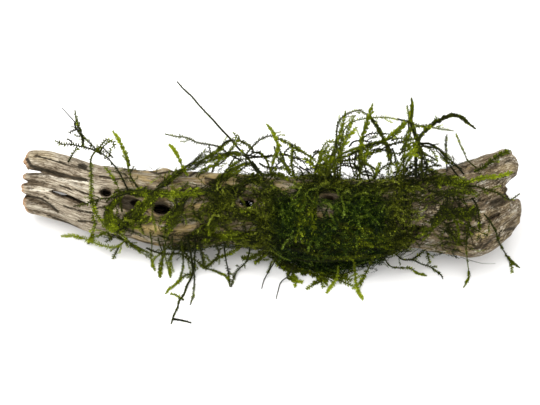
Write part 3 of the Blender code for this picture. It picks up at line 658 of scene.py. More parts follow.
def wood_finish():
    finish = Finish("weathered_cholla_wood")
    grain, along, _, relief_shade = finish.held("grain")
    _, moss_over, tip, pale = finish.held("stain")
    _, patch_and_crack_shade, golden, gnarled = finish.held("patches")
    broad = finish.fibrous(grain, 0.10, 0.35, 3)
    streaks = finish.fibrous(grain, 0.16, 1.5, 4, 0.6)
    hairs = finish.fibrous(grain, 0.50, 3.3, 5, 0.76)
    specks = finish.fibrous(grain, 1.1, 2.4, 5, 0.75)
    knots = finish.fibrous(grain, 0.50, 0.80, 4, 0.68)
    blotches = finish.fibrous(grain, 0.22, 0.34, 4, 0.62)
    wander = finish.fibrous(grain, 0.14, 1.1, 3, 0.65) - 0.5
    cracks = 1 - (wander * wander * 900).within(0.0, 1.0)
    crackle = 1 - ((knots - 0.5) * (knots - 0.5) * 500).within(0.0, 1.0)

    colour = finish.ramp(
        streaks * 0.4 + hairs * 0.6, (0.38, (0.075, 0.052, 0.032)), (0.45, (0.21, 0.165, 0.112)),
        (0.50, (0.36, 0.305, 0.222)), (0.56, (0.56, 0.495, 0.38)), (0.62, (0.78, 0.72, 0.58)))
    # painted highlight: the ribs beside the front furrows and the single ridges turn cream
    colour = finish.mix(pale.at_most(0.9), colour, HIGHLIGHT_CREAM)
    colour = finish.mix((golden * hairs.within(0.34, 0.46) * 1.1).at_most(0.85), colour, GOLD)
    colour = finish.mix(gnarled * knots.within(0.53, 0.62) * 0.75, colour, PALE_KNOT)
    past_fingers = along.within(-50, -35) * (0.85 - along.within(28, 40) * 0.35)
    colour = finish.mix(broad.within(0.40, 0.58) * past_fingers, colour, OCHRE)
    colour = finish.mix(tip * 0.75, colour, ORANGE)
    # darker under the moss, towards the middle and at the right end: partly wet stain, partly painted shade
    stain_and_shade = along.within(-52, -30) * 0.25 + moss_over * 0.75
    stain_and_shade = stain_and_shade + specks.within(0.5, 0.62) * along.within(40, 50) * 0.3
    colour = finish.mix(stain_and_shade.at_most(0.9), colour, MOSS_STAIN_AND_SHADE)

    rough_end = gnarled * (crackle * 1.5 + (blotches - 0.5) * 7.0 + 0.15)
    pores = (hairs - 0.5) * 3.6 + (specks - 0.5) * (3.6 + gnarled * 2.4)
    # painted shade from the relief, the hollows and the cracks, together with real dark pores, fine cracks
    # and the rough right end
    grain_and_shade_darkness = (relief_shade + patch_and_crack_shade * 1.4 + pores + cracks * 0.8 + rough_end).within(0.38, 1.25)
    grain_and_shade_colour = finish.mix((hairs * 0.7 + streaks * 0.3).within(0.42, 0.60), GRAIN_AND_SHADE_BLACK, GRAIN_AND_SHADE_BROWN)
    grain_and_shade_colour = finish.mix(patch_and_crack_shade.at_most(0.9), grain_and_shade_colour, DEEPEST_SHADE)
    colour = finish.mix(grain_and_shade_darkness.at_most(0.94), colour, grain_and_shade_colour)
    height = streaks * 0.5 + hairs * 0.9 + specks * 0.4 - cracks * 0.35
    return finish.done(colour, 0.80 + hairs * 0.12, finish.bump(height, 0.8, 0.5 * MM), shine=0.10)


wood_mesh.materials.append(wood_finish())
print("wood finished with", len(wood_mesh.materials[0].node_tree.nodes), "nodes")

# %% [markdown]
# The felted moss covers the stick's middle. Its thickness and its edges are those of the frame's sleeve,
# so the shoots fill the space that the sleeve holds.

# %% The felt's thickness
# angle and column of both edges
MOSS_LEFT_EDGE = (
    (-180, 170), (-130, 150), (-90, 158), (-45, 172), (0, 184), (40, 170), (75, 182), (110, 168), (180, 170),
)
MOSS_RIGHT_EDGE = (
    (-180, 430), (-120, 440), (-70, 446), (-30, 432), (0, 424), (45, 430), (80, 436), (120, 424), (180, 430),
)
# column, angle, half its columns, half its degrees, rise in mm
MOSS_SWELLINGS = (
    (332, -112, 46, 26, 6.0), (250, -128, 60, 24, 2.2), (330, 78, 12, 24, 3.0), (232, 62, 26, 30, 2.2),
    (300, 20, 80, 60, 1.2), (412, 66, 18, 26, 1.9), (300, -152, 110, 26, 2.4), (205, -60, 26, 34, 0.9),
    (395, -70, 36, 30, 1.2), (300, 160, 90, 30, 0.8),
)
MOSS_BASE = 1.3 * MM
MOSS_THINNING = 9 * MM
THIN_MOSS = 0.5 * MM
SWELLING_PLACES = placed(MOSS_SWELLINGS)
MOSS_LEFT_PLACES, MOSS_RIGHT_PLACES = edge_places(MOSS_LEFT_EDGE), edge_places(MOSS_RIGHT_EDGE)


def inside_moss(x, angle):
    """How far from the felt's nearer edge places lie, less than 0 outside it."""
    left, right = np.interp(angle, *MOSS_LEFT_PLACES), np.interp(angle, *MOSS_RIGHT_PLACES)
    return np.minimum(x - left, right - x)


def felt_thickness(x, angle):
    """How thick the moss lies on the wood, thinning away past its edges."""
    within = np.clip(inside_moss(x, angle) / MOSS_THINNING, 0, 1)
    thickness = THIN_MOSS + (MOSS_BASE - THIN_MOSS) * within
    for *oval, rise in SWELLING_PLACES:
        thickness = thickness + rise * MM * np.sqrt(within) * np.exp(-off_middle_of_oval(x, angle, *oval))
    return thickness


def wood_surface(x, angle):
    """The wood that the moss lies on, smoothed."""
    return knobbly_radius(x, angle) - 0.5 * sunk_depth(x, angle)


print("felt at its thickest:", round(felt_thickness(x_of_column(332.0), -112.0) / MM, 1), "mm")

# %% [markdown]
# How much moss there is changes over the stick: a full felt in the middle, scattered shoots to the left,
# where a tuft rings the third hole, and a few to the right. Some windows stay nearly bare, and the holes
# in sight stay open. A growth value from 0 to 1 says how likely a shoot is to start at a place.

# %% Where shoots grow
# column, angle, half its columns, half its degrees, growth there
WINDOWS = (
    (285, 50, 11, 13, 0.0), (323, 7, 11, 8, 0.1), (185, -28, 14, 10, 0.05), (213, -34, 12, 9, 0.05),
    (243, -22, 13, 8, 0.1), (254, 14, 9, 8, 0.0), (208, 46, 16, 9, 0.05), (196, 12, 11, 9, 0.1),
    (252, 44, 9, 9, 0.1), (170, -48, 12, 12, 0.1), (300, -38, 12, 8, 0.3), (388, 38, 12, 8, 0.3),
    (382, -54, 12, 7, 0.3), (231, 50, 10, 8, 0.15), (222, 72, 26, 16, 0.08), (268, 76, 24, 14, 0.12),
    (370, 72, 40, 12, 0.35), (196, 50, 12, 12, 0.15), (385, 92, 50, 18, 0.22), (218, 100, 36, 20, 0.08),
    (275, 96, 24, 16, 0.15), (408, -95, 24, 30, 0.0), (232, -98, 38, 36, 0.03), (154, -92, 16, 22, 0.1),
    (436, -92, 14, 22, 0.2), (352, 86, 24, 18, 0.08), (303, 76, 9, 16, 0.1), (415, 84, 8, 14, 0.15),
    (107, 14, 6, 7, 0.0),
)
# the same for tufts outside the felt
TUFTS = (
    (112, 8, 6, 16, 0.65), (137, -20, 17, 9, 1.0), (137, 22, 15, 7, 0.8), (157, -8, 5, 14, 0.9),
    (126, 62, 24, 12, 0.3), (462, -26, 14, 16, 0.45), (448, 34, 12, 18, 0.45), (130, -44, 22, 10, 0.5),
    (446, 0, 20, 30, 0.36), (444, -48, 16, 18, 0.28), (466, 20, 12, 12, 0.36), (178, 0, 16, 10, 0.5),
    (176, -22, 10, 10, 0.5), (160, 22, 22, 12, 0.35), (188, 22, 14, 14, 0.5), (160, -46, 20, 12, 0.45),
    (190, -8, 10, 14, 0.5), (146, 28, 14, 6, 0.45), (112, -30, 8, 12, 0.6), (120, -52, 14, 10, 0.45),
)
# the hollows that shoots grow around: column, angle, half their columns, half their degrees
HOLLOWS = ((130, 4, 9, 8), (467, -3, 6, 6), (438, 6, 6, 8))
HOLLOW_BARENESS = 0.95
RAGGED = 9 * MM
EDGE_GROWTH, FULL_OVER = 0.35, 16 * MM
STRAY_GROWTH, STRAYING_OVER = 0.22, 26 * MM
BARE_ROUND_HOLES = 0.6
MAP_SIZE = (320, 240)


def spot(x, angle, *oval):
    """1 in the middle of an oval patch, falling to 0 outside it."""
    return np.clip(1.6 - off_middle_of_oval(x, angle, *oval), 0, 1)


def spots(x, angle, rows):
    """The strongest of several oval patches, each with its own strength."""
    strength = np.zeros(x.shape)
    for *oval, strongest in placed(rows):
        strength = np.maximum(strength, strongest * spot(x, angle, *oval))
    return strength


def growth(x, angle):
    """How much moss grows at places, from 0 to 1."""
    inside = inside_moss(x, angle) + RAGGED * grain_bumps(x, angle, 9 * MM, 12)
    full = np.clip(EDGE_GROWTH + inside / FULL_OVER, 0, 1)
    amount = np.maximum(full, STRAY_GROWTH * np.clip(1 + inside / STRAYING_OVER, 0, 1))
    for *oval, there in placed(WINDOWS):
        amount = amount + (amount * there - amount) * spot(x, angle, *oval)
    amount = np.maximum(amount, spots(x, angle, TUFTS))
    for middle, at_angle, length, width in HOLE_PLACES[:HOLES_IN_SIGHT]:
        columns = BARE_ROUND_HOLES * length * MM / PIXEL
        degrees = np.degrees(BARE_ROUND_HOLES * width / GRAIN_RADIUS_MM)
        amount = amount * (1 - spot(x, angle, middle, at_angle, columns, degrees))
    for hollow in placed(HOLLOWS):
        amount = amount * (1 - HOLLOW_BARENESS * spot(x, angle, *hollow))
    return amount


MAP_X = np.linspace(x_of_column(20.0), x_of_column(522.0), MAP_SIZE[0])
MAP_ANGLES = np.linspace(-180, 180, MAP_SIZE[1])
GROWTH = growth(*np.meshgrid(MAP_X, MAP_ANGLES, indexing="ij"))


def nearest(places, wanted):
    """The positions in an evenly spaced list of the places nearest to the wanted ones."""
    steps = np.round((wanted - places[0]) / (places[1] - places[0])).astype(int)
    return np.clip(steps, 0, len(places) - 1)


def growth_at(x, angle):
    """The growth at places, looked up among values worked out once."""
    return GROWTH[nearest(MAP_X, x), nearest(MAP_ANGLES, angle)]


print("growth over the whole stick:", round(float(GROWTH.mean()), 2))

# %% [markdown]
# Moss keeps the wood under it wet and dark, and painted shade darkens it further; the loose fingertips are
# orange at their very ends. The ribs beside the long furrows in front get a painted pale highlight. Painted
# shade over hollows, golden patches, single cracks painted as shade and single ridges with a painted
# highlight were read from the picture. The wood holds all of these for each vertex.

# %% Stain the wood and paint its shade and highlights
# column, angle, half its columns, half its degrees, strength
# painted shade over dark hollows and shaded spots
HOLLOW_SHADE_PATCHES = (
    (130, 0, 14, 11, 1.3), (214, 0, 9, 10, 0.8), (467, -4, 9, 9, 1.4), (256, 5, 8, 9, 1.2),
    (329, 32, 8, 8, 0.7), (142, -72, 12, 8, 0.8), (168, 52, 14, 9, 0.5), (452, 2, 8, 12, 0.7),
    (498, -2, 8, 5, 0.8), (430, 10, 8, 14, 0.7), (84, 62, 4, 7, 0.9), (103, 14, 3.5, 5, 1.3),
    (36, 13, 9, 5, 0.45), (148, 27, 12, 8, 0.7), (161, 3, 8, 9, 1.1),
)
GOLDEN = (
    (148, -34, 17, 10, 0.9), (480, -38, 10, 10, 0.8), (461, -52, 9, 8, 0.7), (250, 60, 30, 10, 0.6),
    (215, 66, 14, 12, 0.6), (40, 60, 14, 20, 0.12),
)
# half the width of a thin crack, painted as shade, in pixels, then its route: column, row, column, row and so
# on
CRACKS = (
    (1.5, 27, 159, 31, 165.5, 40, 169, 50, 171.5, 62, 175, 75, 178, 86, 180),
    (1.0, 78, 221, 88, 221.5, 97, 224), (1.0, 48, 216, 60, 220, 68, 223, 78, 228),
    (1.0, 29, 196, 42, 199, 50, 204, 58, 212), (0.9, 96, 208.5, 104, 207), (0.9, 44, 196.5, 48, 198),
    (1.3, 79, 165, 86, 168), (1.0, 150, 171, 158, 174, 172, 171), (1.1, 205, 178, 212, 179.5, 220, 181),
    (1.0, 479, 199, 486, 202, 498, 200.5), (1.0, 502, 185, 505, 195, 510, 199),
    (0.9, 502, 162, 512.5, 159.5), (0.9, 460, 165, 466, 167.5), (1.0, 447, 231, 453, 240, 460, 245),
    (1.0, 470, 249, 483, 247.5, 491, 240), (0.9, 479, 236, 482, 245),
    (1.1, 497, 241, 501, 231, 510, 229, 520, 226.5), (1.3, 433, 210, 436, 205), (1.2, 417, 219, 426, 215),
    (0.9, 470, 172, 483, 167.5), (0.9, 160, 226, 168, 231, 176, 231), (0.9, 492, 176, 496, 182, 504, 183),
    (0.9, 468, 236, 474, 228, 484, 224), (1.0, 190, 176, 196, 172, 204, 171),
    (0.9, 100, 176, 116, 179, 130, 178), (0.9, 60, 162, 76, 167, 90, 171),
    (0.8, 36, 156, 52, 160, 66, 165), (0.8, 60, 186, 76, 190, 90, 195), (0.8, 64, 206, 80, 211, 96, 214),
)
# the same for thin ridges with a painted pale highlight
RIDGES = (
    (0.9, 37, 171, 46, 175, 60, 178.5, 75, 181, 92, 182.5), (0.9, 207, 171.5, 228, 173),
    (0.9, 250, 176, 275, 177, 292, 179), (0.8, 485, 207, 494, 209, 504, 209),
    (0.8, 30, 189, 44, 191, 52, 190), (0.8, 66, 197.5, 80, 200, 92, 203.5),
    (1.8, 158, 169, 165, 168.5, 172, 170.5), (0.8, 176, 203, 170, 208, 166, 214),
    (0.9, 496, 221, 504, 216, 510, 214),
)
CRACK_DARKNESS = 1.3
ORANGE_REACH = 1.5 * MM
# where the painted highlight beside the front furrows lies, and how strong it is
HIGHLIGHT_RADIUS, HIGHLIGHT_STRENGTH, HIGHLIGHT_SPREAD, HIGHLIGHT_FROM = 10 * MM, 0.55, 0.4 * MM, 8 * MM
SEEN_DEPTH, SEEN_DEGREES = 2.5 * MM, 88
GNARLED_STAIN_FROM, GNARLED_STAIN_OVER = 34 * MM, 10 * MM


def as_route(numbers):
    """Columns and rows in turn, as pairs."""
    return np.reshape(numbers, (-1, 2)).astype(float)


def drawn(columns, rows, lines):
    """How strongly thin lines cross places seen in the picture."""
    strength = np.zeros(len(columns))
    for half_width, *numbers in lines:
        route = as_route(numbers)
        for (left, top), (right, bottom) in zip(route, route[1:]):
            over, down = right - left, bottom - top
            part = ((columns - left) * over + (rows - top) * down) / (over**2 + down**2)
            part = np.clip(part, 0, 1)
            away = np.hypot(columns - left - over * part, rows - top - down * part)
            strength = np.maximum(strength, np.clip(1.4 - away / half_width, 0, 1))
    return strength


def hold(mesh, name, *values):
    """Three numbers for each vertex of a mesh, under a name."""
    kept = mesh.attributes.new(name, "FLOAT_VECTOR", "POINT")
    kept.data.foreach_set("vector", np.stack(values, axis=-1).ravel())


wood_points = np.array([vert.co for vert in wood_mesh.vertices])
stained_x = wood_points[:, 0]
off_axis = wood_points - on_axis(stained_x)
stained_angle = angle_of(off_axis)
orange = np.clip(1 - (stained_x - finger_ends(stained_angle)) / ORANGE_REACH, 0, 1)
# painted highlight along the ribs beside the front furrows
ridge_highlight = np.zeros(len(stained_x))
for furrow in FURROW_PLACES[:FURROWS_IN_FRONT]:
    start, *_, width, depth = furrow
    part, across = beside_furrow(stained_x, stained_angle, furrow, HIGHLIGHT_RADIUS)
    beside = np.exp(-(((across + 1.5 * width * MM) / HIGHLIGHT_SPREAD) ** 2)) * (part < 1)
    ridge_highlight = np.maximum(ridge_highlight, HIGHLIGHT_STRENGTH * beside * np.clip((stained_x - start) / HIGHLIGHT_FROM, 0, 1))
seen_column, seen_row, _ = pixel_of(wood_points)
outermost = np.linalg.norm(off_axis, axis=1) > AXIS_RADIUS(stained_x) - SEEN_DEPTH
in_sight = (np.abs(stained_angle) < SEEN_DEGREES) & outermost
# painted shade: patches over hollows, and the thin crack lines in sight
patch_and_crack_shade = spots(stained_x, stained_angle, HOLLOW_SHADE_PATCHES)
patch_and_crack_shade = np.maximum(patch_and_crack_shade, drawn(seen_column, seen_row, CRACKS) * in_sight * CRACK_DARKNESS)
ridge_highlight = np.maximum(ridge_highlight, drawn(seen_column, seen_row, RIDGES) * in_sight)
gnarled = np.clip((stained_x - GNARLED_STAIN_FROM) / GNARLED_STAIN_OVER, 0, 1)
hold(wood_mesh, "patches", patch_and_crack_shade, spots(stained_x, stained_angle, GOLDEN), gnarled)
hold(wood_mesh, "stain", growth_at(stained_x, stained_angle), orange, ridge_highlight)
print("stain_and_shade", int((orange > 0.1).sum()), "vertices at the tips")

# %% [markdown]
# A shoot of java moss is a wiry stem with two rows of tiny pointed leaves. Hair particles would be
# quicker to add, but they carry no leaves and don't travel to other programs. So each shoot is a real
# mesh, built for thousands of paths at once with array arithmetic: a three-sided stem that tapers
# along its path, and one bent four-cornered blade for each leaf.

# %% Shoots from paths
LEAF_SPREAD, LEAF_CLOSING = math.radians(58), math.radians(20)
STEM_TAPER = 0.4
LEAF_HALF_WIDTH, LEAF_BELLY_AT, LEAF_BELLY_RISE, LEAF_TIP_DROP = 0.23, 0.42, 0.09, 0.05
SPREAD_WOBBLE, TILT_WOBBLE, SIZE_WOBBLE = 0.16, 0.3, 0.14
CORNER_AGES = (0, 0.05, 0.12, 0.05)
LEAST_HEIGHT = 0.03 * MM


def unit(vectors):
    """Vectors made one long."""
    return vectors / np.maximum(np.linalg.norm(vectors, axis=-1, keepdims=True), 1e-12)


def between(values, at):
    """Values along each path, at these parts of its length."""
    place = at * (values.shape[1] - 1)
    i = np.minimum(place.astype(int), values.shape[1] - 2)
    part = (place - i)[None, :, None]
    return values[:, i] * (1 - part) + values[:, i + 1] * part


def path_length(path):
    """How long a path is."""
    return np.linalg.norm(np.diff(path, axis=0), axis=1).sum()


def from_root(ends, part):
    """Values at parts of a shoot, from those at its root and at its tip."""
    return ends[:, :1] + (ends[:, 1:] - ends[:, :1]) * part


class Growth:
    """Stems and leaves gathered into one mesh."""

    def __init__(self, mottle):
        self.mottle = mottle
        self.points, self.faces, self.values, self.count = [], [], [], 0

    def add(self, points, faces, values):
        """More faces and their points, which stay above the floor."""
        points[..., 2] = np.maximum(points[..., 2], LEAST_HEIGHT)
        self.points.append(points.reshape(-1, 3))
        self.values.append(values.reshape(-1, 3))
        self.faces.append(faces.reshape(-1, 4) + self.count)
        self.count += len(self.points[-1])

    def shoots(self, paths, normals, pairs, stem, leaf, bare, age, tone):
        """Shoots along paths. leaf and age hold values at root and tip, and tone is light or dark."""
        ahead = unit(np.gradient(paths, axis=1))
        side = unit(np.cross(ahead, normals))
        normal = np.cross(side, ahead)
        self.stems(paths, side, normal, stem, age, tone)
        for way in (-1, 1) if pairs else ():
            at = bare + (0.99 - bare) * (np.arange(pairs) + 0.5 + 0.25 * way) / pairs
            axes = (between(rows, at) for rows in (paths, ahead, side * way, normal))
            self.leaves(*axes, at, leaf, age, tone)

    def stems(self, paths, side, normal, stem, age, tone):
        """A three-sided stem along each path."""
        shoots, count = paths.shape[:2]
        part = np.linspace(0, 1, count)
        turn = np.radians([90, 210, 330])[:, None]
        ring = side[:, :, None] * np.cos(turn) + normal[:, :, None] * np.sin(turn)
        radius = stem[:, None] * (1 - STEM_TAPER * part)
        i, j = np.arange(count - 1)[:, None] * 3, np.arange(3)
        corners = [i + j, i + (j + 1) % 3, i + 3 + (j + 1) % 3, i + 3 + j]
        quads = np.stack(corners, axis=-1).reshape(-1, 4)
        values = np.zeros((shoots, count, 3, 3))
        values[..., 0], values[..., 1] = from_root(age, part)[:, :, None], tone[:, None, None]
        points = paths[:, :, None] + ring * radius[:, :, None, None]
        self.add(points, quads + np.arange(shoots)[:, None, None] * count * 3, values)

    def leaves(self, root, fore, out, up, at, leaf, age, tone):
        """One row of leaves, rooted at these parts of each path."""
        shoots, pairs = root.shape[:2]
        wobble = CHANCE.normal(0, 1, (3, shoots, pairs, 1))
        spread = (LEAF_SPREAD - LEAF_CLOSING * at[None, :, None] ** 3) * (1 + SPREAD_WOBBLE * wobble[0])
        heading = unit(fore * np.cos(spread) + out * np.sin(spread) + up * TILT_WOBBLE * wobble[1])
        blade = unit(np.cross(heading, up))
        swelling = np.minimum(0.62 + 1.3 * at, 1) * np.minimum(1, 0.42 + 4.5 * (1 - at))
        grown = from_root(leaf, np.clip(at * 1.5 - 0.4, 0, 1))
        size = (grown * swelling)[..., None] * (1 + SIZE_WOBBLE * wobble[2])
        belly = root + heading * size * LEAF_BELLY_AT + up * size * LEAF_BELLY_RISE
        tip = root + heading * size - up * size * LEAF_TIP_DROP
        half = blade * size * LEAF_HALF_WIDTH
        values = np.ones((shoots, pairs, 4, 3))
        values[..., 0] = from_root(age, at)[..., None] + CORNER_AGES
        # random flecks of tone on single leaves; the rare bright ones are painted glints of the wet leaves
        flecks = CHANCE.exponential(1, (shoots, pairs, 1)) - 0.9
        values[..., 1] = tone[:, None, None] + self.mottle * flecks
        points = np.stack([root, belly + half, tip, belly - half], axis=2)
        self.add(points, np.arange(shoots * pairs * 4), values)

    def shoot(self, path, facing, spacing, stem, leaf, bare, age, tone):
        """One shoot that faces one way, with a pair of leaves at every spacing, or none if it is 0."""
        pairs = max(3, round(path_length(path) / spacing)) if spacing else 0
        self.shoots(path[None], np.broadcast_to(facing, path.shape)[None], pairs, np.array([stem]),
                    np.array([leaf]), bare, np.array([age]), np.array([tone]))

    def piece(self, name, finish):
        """The mesh of all that was gathered, as a visible piece that rides on the body."""
        mesh = bpy.data.meshes.new(name)
        points, faces = np.concatenate(self.points), np.concatenate(self.faces)
        mesh.vertices.add(len(points))
        mesh.vertices.foreach_set("co", points.ravel())
        mesh.loops.add(faces.size)
        mesh.loops.foreach_set("vertex_index", faces.ravel().astype(np.int32))
        mesh.polygons.add(len(faces))
        mesh.polygons.foreach_set("loop_start", np.arange(0, faces.size, 4, dtype=np.int32))
        mesh.update(calc_edges=True)
        hold(mesh, "moss", *np.concatenate(self.values).T)
        mesh.shade_smooth()
        mesh.materials.append(finish)
        made = in_scene(name, mesh)
        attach(made, "root")
        print(name, "has", 2 * len(faces), "triangles")
        return made


print("a leaf spreads", round(math.degrees(LEAF_SPREAD)), "degrees from its stem")

# %% [markdown]
# Moss colour tells its age: old stems are nearly black-green, grown leaves are olive, and young tips are a
# sharp yellow-green. Each vertex carries its age and its shoot's own tone. Leaves this small hardly shine, so
# their glints are painted: rare bright flecks on single leaves, and a paler top green in the felt.
# Low in the middle the felt hangs in its own shade, and turns a deep blue-green there.

# %% The finish of the moss
GREEN_STOPS = (0.02, 0.25, 0.48, 0.70, 0.98)
# the felt's brightest green is paler and greyer, a painted sheen
FELT_GREENS = (
    (0.003, 0.005, 0.0005), (0.014, 0.018, 0.001), (0.070, 0.082, 0.004), (0.160, 0.184, 0.018),
    (0.29, 0.33, 0.06),
)
SHOOT_GREENS = (
    (0.005, 0.006, 0.001), (0.018, 0.022, 0.001), (0.058, 0.075, 0.002), (0.140, 0.176, 0.004),
    (0.29, 0.35, 0.022),
)
SHADE_TINT = (0.38, 0.72, 0.64)
# the columns between which the clump's shade sets in and ends
SHADE_COLUMNS = ((262, 286), (374, 392))
SHADE_LEFT, SHADE_RIGHT = ([float(x_of_column(column)) for column in ends] for ends in SHADE_COLUMNS)


def moss_finish(name, darker, greens, shaded):
    finish = Finish(name)
    _, age, tone, leafy = finish.held("moss")
    place = finish.place()
    patches = finish.noise(place, 130.0, 2)
    grain = finish.noise(place, 2600.0, 2)
    freshness = age * 0.62 + tone * 0.5 + patches * 0.3 + grain * 0.16 + leafy * 0.10 - 0.42
    green = finish.ramp(freshness * darker, *zip(GREEN_STOPS, greens))
    along, toward_back, _ = finish.split(place)
    middle = along.within(*SHADE_LEFT) * (1 - along.within(*SHADE_RIGHT))
    under = 1 - toward_back.within(-5 * MM, 6 * MM)
    shadow = middle * under * (1 - freshness.within(0.30, 0.60) * 0.5) * shaded
    green = finish.mix(shadow, green, SHADE_TINT, "MULTIPLY")
    return finish.done(green, 0.58 - leafy * 0.14, finish.bump(grain, 0.5, 0.05 * MM), shine=0.04)


felt_finish = moss_finish("felted_java_moss", 0.88, FELT_GREENS, 1.0)
shoot_finish = moss_finish("java_moss_shoots", 1.0, SHOOT_GREENS, 0.0)
print("moss finishes made:", felt_finish.name, "and", shoot_finish.name)

# %% [markdown]
# The felt is thousands of creeping shoots. Each starts at a random place, heads off along the stick or in
# a random direction, curls a little as it goes, and climbs from deep in the felt towards its face. A few
# are loose and arch away from the stick. Those in thick places start at any height, so the clump below is
# filled, and those in the clump's shade are dark.

# %% Creeping shoots
SHOOT_POINTS = 6
FELT_PIECES, SHOOTS_EACH = 4, (2100)
FELT_MOTTLE, FELT_LEAF_PAIRS, FELT_BARE = 0.26, 16, 0.04
START_X = [float(x_of_column(column)) for column in (96, 478)]
FURTHEST_X = [float(x_of_column(column)) for column in (60, 500)]
COMBED_SHARE, COMBED_SPREAD = 0.4, 0.4
LOOSE_SHARE, LOOSE_SHARE_BELOW = 0.13, 0.04
CURL, WAVER = 0.75, 0.22
# in mm
SHOOT_LENGTHS, LOOSE_LIFTS, FLOOR_LIFTS = (3.2, 14), (1.0, 4.5), (0.15, 1.2)
STEM_RADII, LEAF_LENGTHS = (0.06, 0.10), (0.34, 0.68)
# where the shaded clump is: middle, angle, half its columns, half its degrees
SHADY_CLUMP = (x_of_column(340.0), -62, 60, 34)


def starts(number):
    """Places on the stick where shoots start, by how much moss grows there."""
    x, angle = np.empty(0), np.empty(0)
    while len(x) < number:
        more_x = CHANCE.uniform(*START_X, 4 * number)
        more_angle = CHANCE.uniform(-180, 180, 4 * number)
        thick = 0.35 + 0.65 * np.clip(felt_thickness(more_x, more_angle) / (3 * MM), 0, 1.6)
        kept = CHANCE.uniform(0, 1, 4 * number) < growth_at(more_x, more_angle) * thick
        x, angle = np.append(x, more_x[kept]), np.append(angle, more_angle[kept])
    return x[:number], angle[:number]


def creeping(number):
    """Paths of shoots over the stick, the way out at each point, and how deep in the felt they lie."""
    x, angle = starts(number)
    length = np.clip(CHANCE.lognormal(1.9, 0.35, number), *SHOOT_LENGTHS) * MM
    heading = CHANCE.uniform(-math.pi, math.pi, number)
    combed = CHANCE.uniform(0, 1, number) < COMBED_SHARE
    lengthwise = np.pi * (CHANCE.uniform(0, 1, number) < 0.5) + CHANCE.normal(0, COMBED_SPREAD, number)
    heading = np.where(combed, lengthwise, heading)
    curl = CHANCE.normal(0, CURL, number)
    low = CHANCE.uniform(0.0, 0.85, number)
    high = low + CHANCE.uniform(0.0, 0.5, number)
    is_loose = CHANCE.uniform(0, 1, number) < np.where(angle < -70, LOOSE_SHARE_BELOW, LOOSE_SHARE)
    loose = np.where(is_loose, CHANCE.uniform(*LOOSE_LIFTS, number), 0) * MM
    step = length / (SHOOT_POINTS - 1)
    points, outward, welcome = [], [], np.ones(number)
    for part in np.linspace(0, 1, SHOOT_POINTS):
        depth = (low + (high - low) * part) * felt_thickness(x, angle)
        height = depth + 0.12 * MM + loose * part**1.6 * (1.6 - 0.6 * part)
        radius = wood_surface(x, angle) + height
        points.append(around_axis(x, angle, radius))
        outward.append(unit(points[-1] - on_axis(x)))
        welcome = np.minimum(welcome, growth_at(x, angle))
        x = np.clip(x + step * np.cos(heading), *FURTHEST_X)
        angle = turned_apart(angle + np.degrees(step * np.sin(heading) / radius), 0)
        heading = heading + curl * step / (3 * MM) + CHANCE.normal(0, WAVER, number)
    points, outward = np.stack(points, axis=1), np.stack(outward, axis=1)
    points[..., 2] = np.maximum(points[..., 2], CHANCE.uniform(*FLOOR_LIFTS, (number, 1)) * MM)
    kept = CHANCE.uniform(0, 0.5, number) < welcome + 0.02
    return points[kept], outward[kept], low[kept]


def rolled(paths, normals, roll):
    """Normals turned about their paths, so that the rows of leaves don't all lie flat."""
    ahead = unit(np.gradient(paths, axis=1))
    side = unit(np.cross(ahead, normals))
    return normals * np.cos(roll)[:, None, None] + side * np.sin(roll)[:, None, None]


felt_size = 0
for index in range(FELT_PIECES):
    felt = Growth(FELT_MOTTLE)
    paths, normals, low = creeping(SHOOTS_EACH)
    number = len(paths)
    shady = spot(paths[:, 0, 0], angle_of(normals[:, 0]), *SHADY_CLUMP)
    tone = np.minimum(CHANCE.exponential(0.50, number), 1.25) - 0.16
    # shoots that start deep in the felt are darker, as painted shade, and so are those in the clump's painted
    # shade
    tone = tone * (0.4 + 0.6 * low) * (1 - 0.5 * shady)
    age = np.stack([CHANCE.uniform(0.0, 0.3, number), CHANCE.uniform(0.40, 0.95, number)], axis=1)
    normals = rolled(paths, normals, CHANCE.normal(0, 0.7, number))
    stem = CHANCE.uniform(*STEM_RADII, number) * MM
    leaf = CHANCE.uniform(*LEAF_LENGTHS, (number, 2)) * MM
    felt.shoots(paths, normals, FELT_LEAF_PAIRS, stem, leaf, FELT_BARE, age, tone)
    piece = felt.piece(f"moss_felt_{index + 1}", felt_finish)
    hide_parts("moss_mat", "moss_patch")
    felt_size += number
print(felt_size, "creeping shoots")

# %% [markdown]
# The free shoots make the outline, so each one is laid one by one. Its route was followed in the picture
# from root to tip. Where the frame has a rod for it, the rod's own vertices tell how near to the eye it
# runs, and elsewhere two lifts from the stick's axis do. Its kind says how leafy it is. Where many run
# together, one route serves them all, and each strays a little beside it.

# %% The free shoots
# stem radius, leaf at root and at tip, and leaf spacing in mm (0 for no leaves), age at root and at tip,
# then how many side shoots in each cm
KINDS = {
    "spear": (0.33, 0.84, 1.1, 0.52, 0.3, 0.8, 0.0),
    "bushy": (0.32, 1.1, 1.3, 0.5, 0.3, 0.66, 0.6),
    "toothed": (0.3, 1.0, 1.2, 0.85, 0.35, 0.78, 0.4),
    "leafy": (0.3, 0.85, 1.1, 0.74, 0.1, 0.66, 0.9),
    "tipped": (0.3, 0.6, 1.15, 0.62, 0.0, 0.74, 0.4),
    "wiry": (0.3, 0.75, 0.95, 0.95, -0.04, 0.38, 0.8),
    "whip": (0.42, 0.66, 0.72, 0.8, -0.02, 0.3, 0.0),
    "hair": (0.25, 0.2, 0.2, 0, 0.02, 0.1, 0.0),
    "slender": (0.25, 0.62, 0.86, 0.5, 0.1, 0.66, 0.12),
    "thick": (0.48, 1.05, 1.1, 0.36, 0.16, 0.52, 0.0),
    "creeper": (0.13, 0.62, 0.8, 0.52, 0.02, 0.62, 0.5),
}
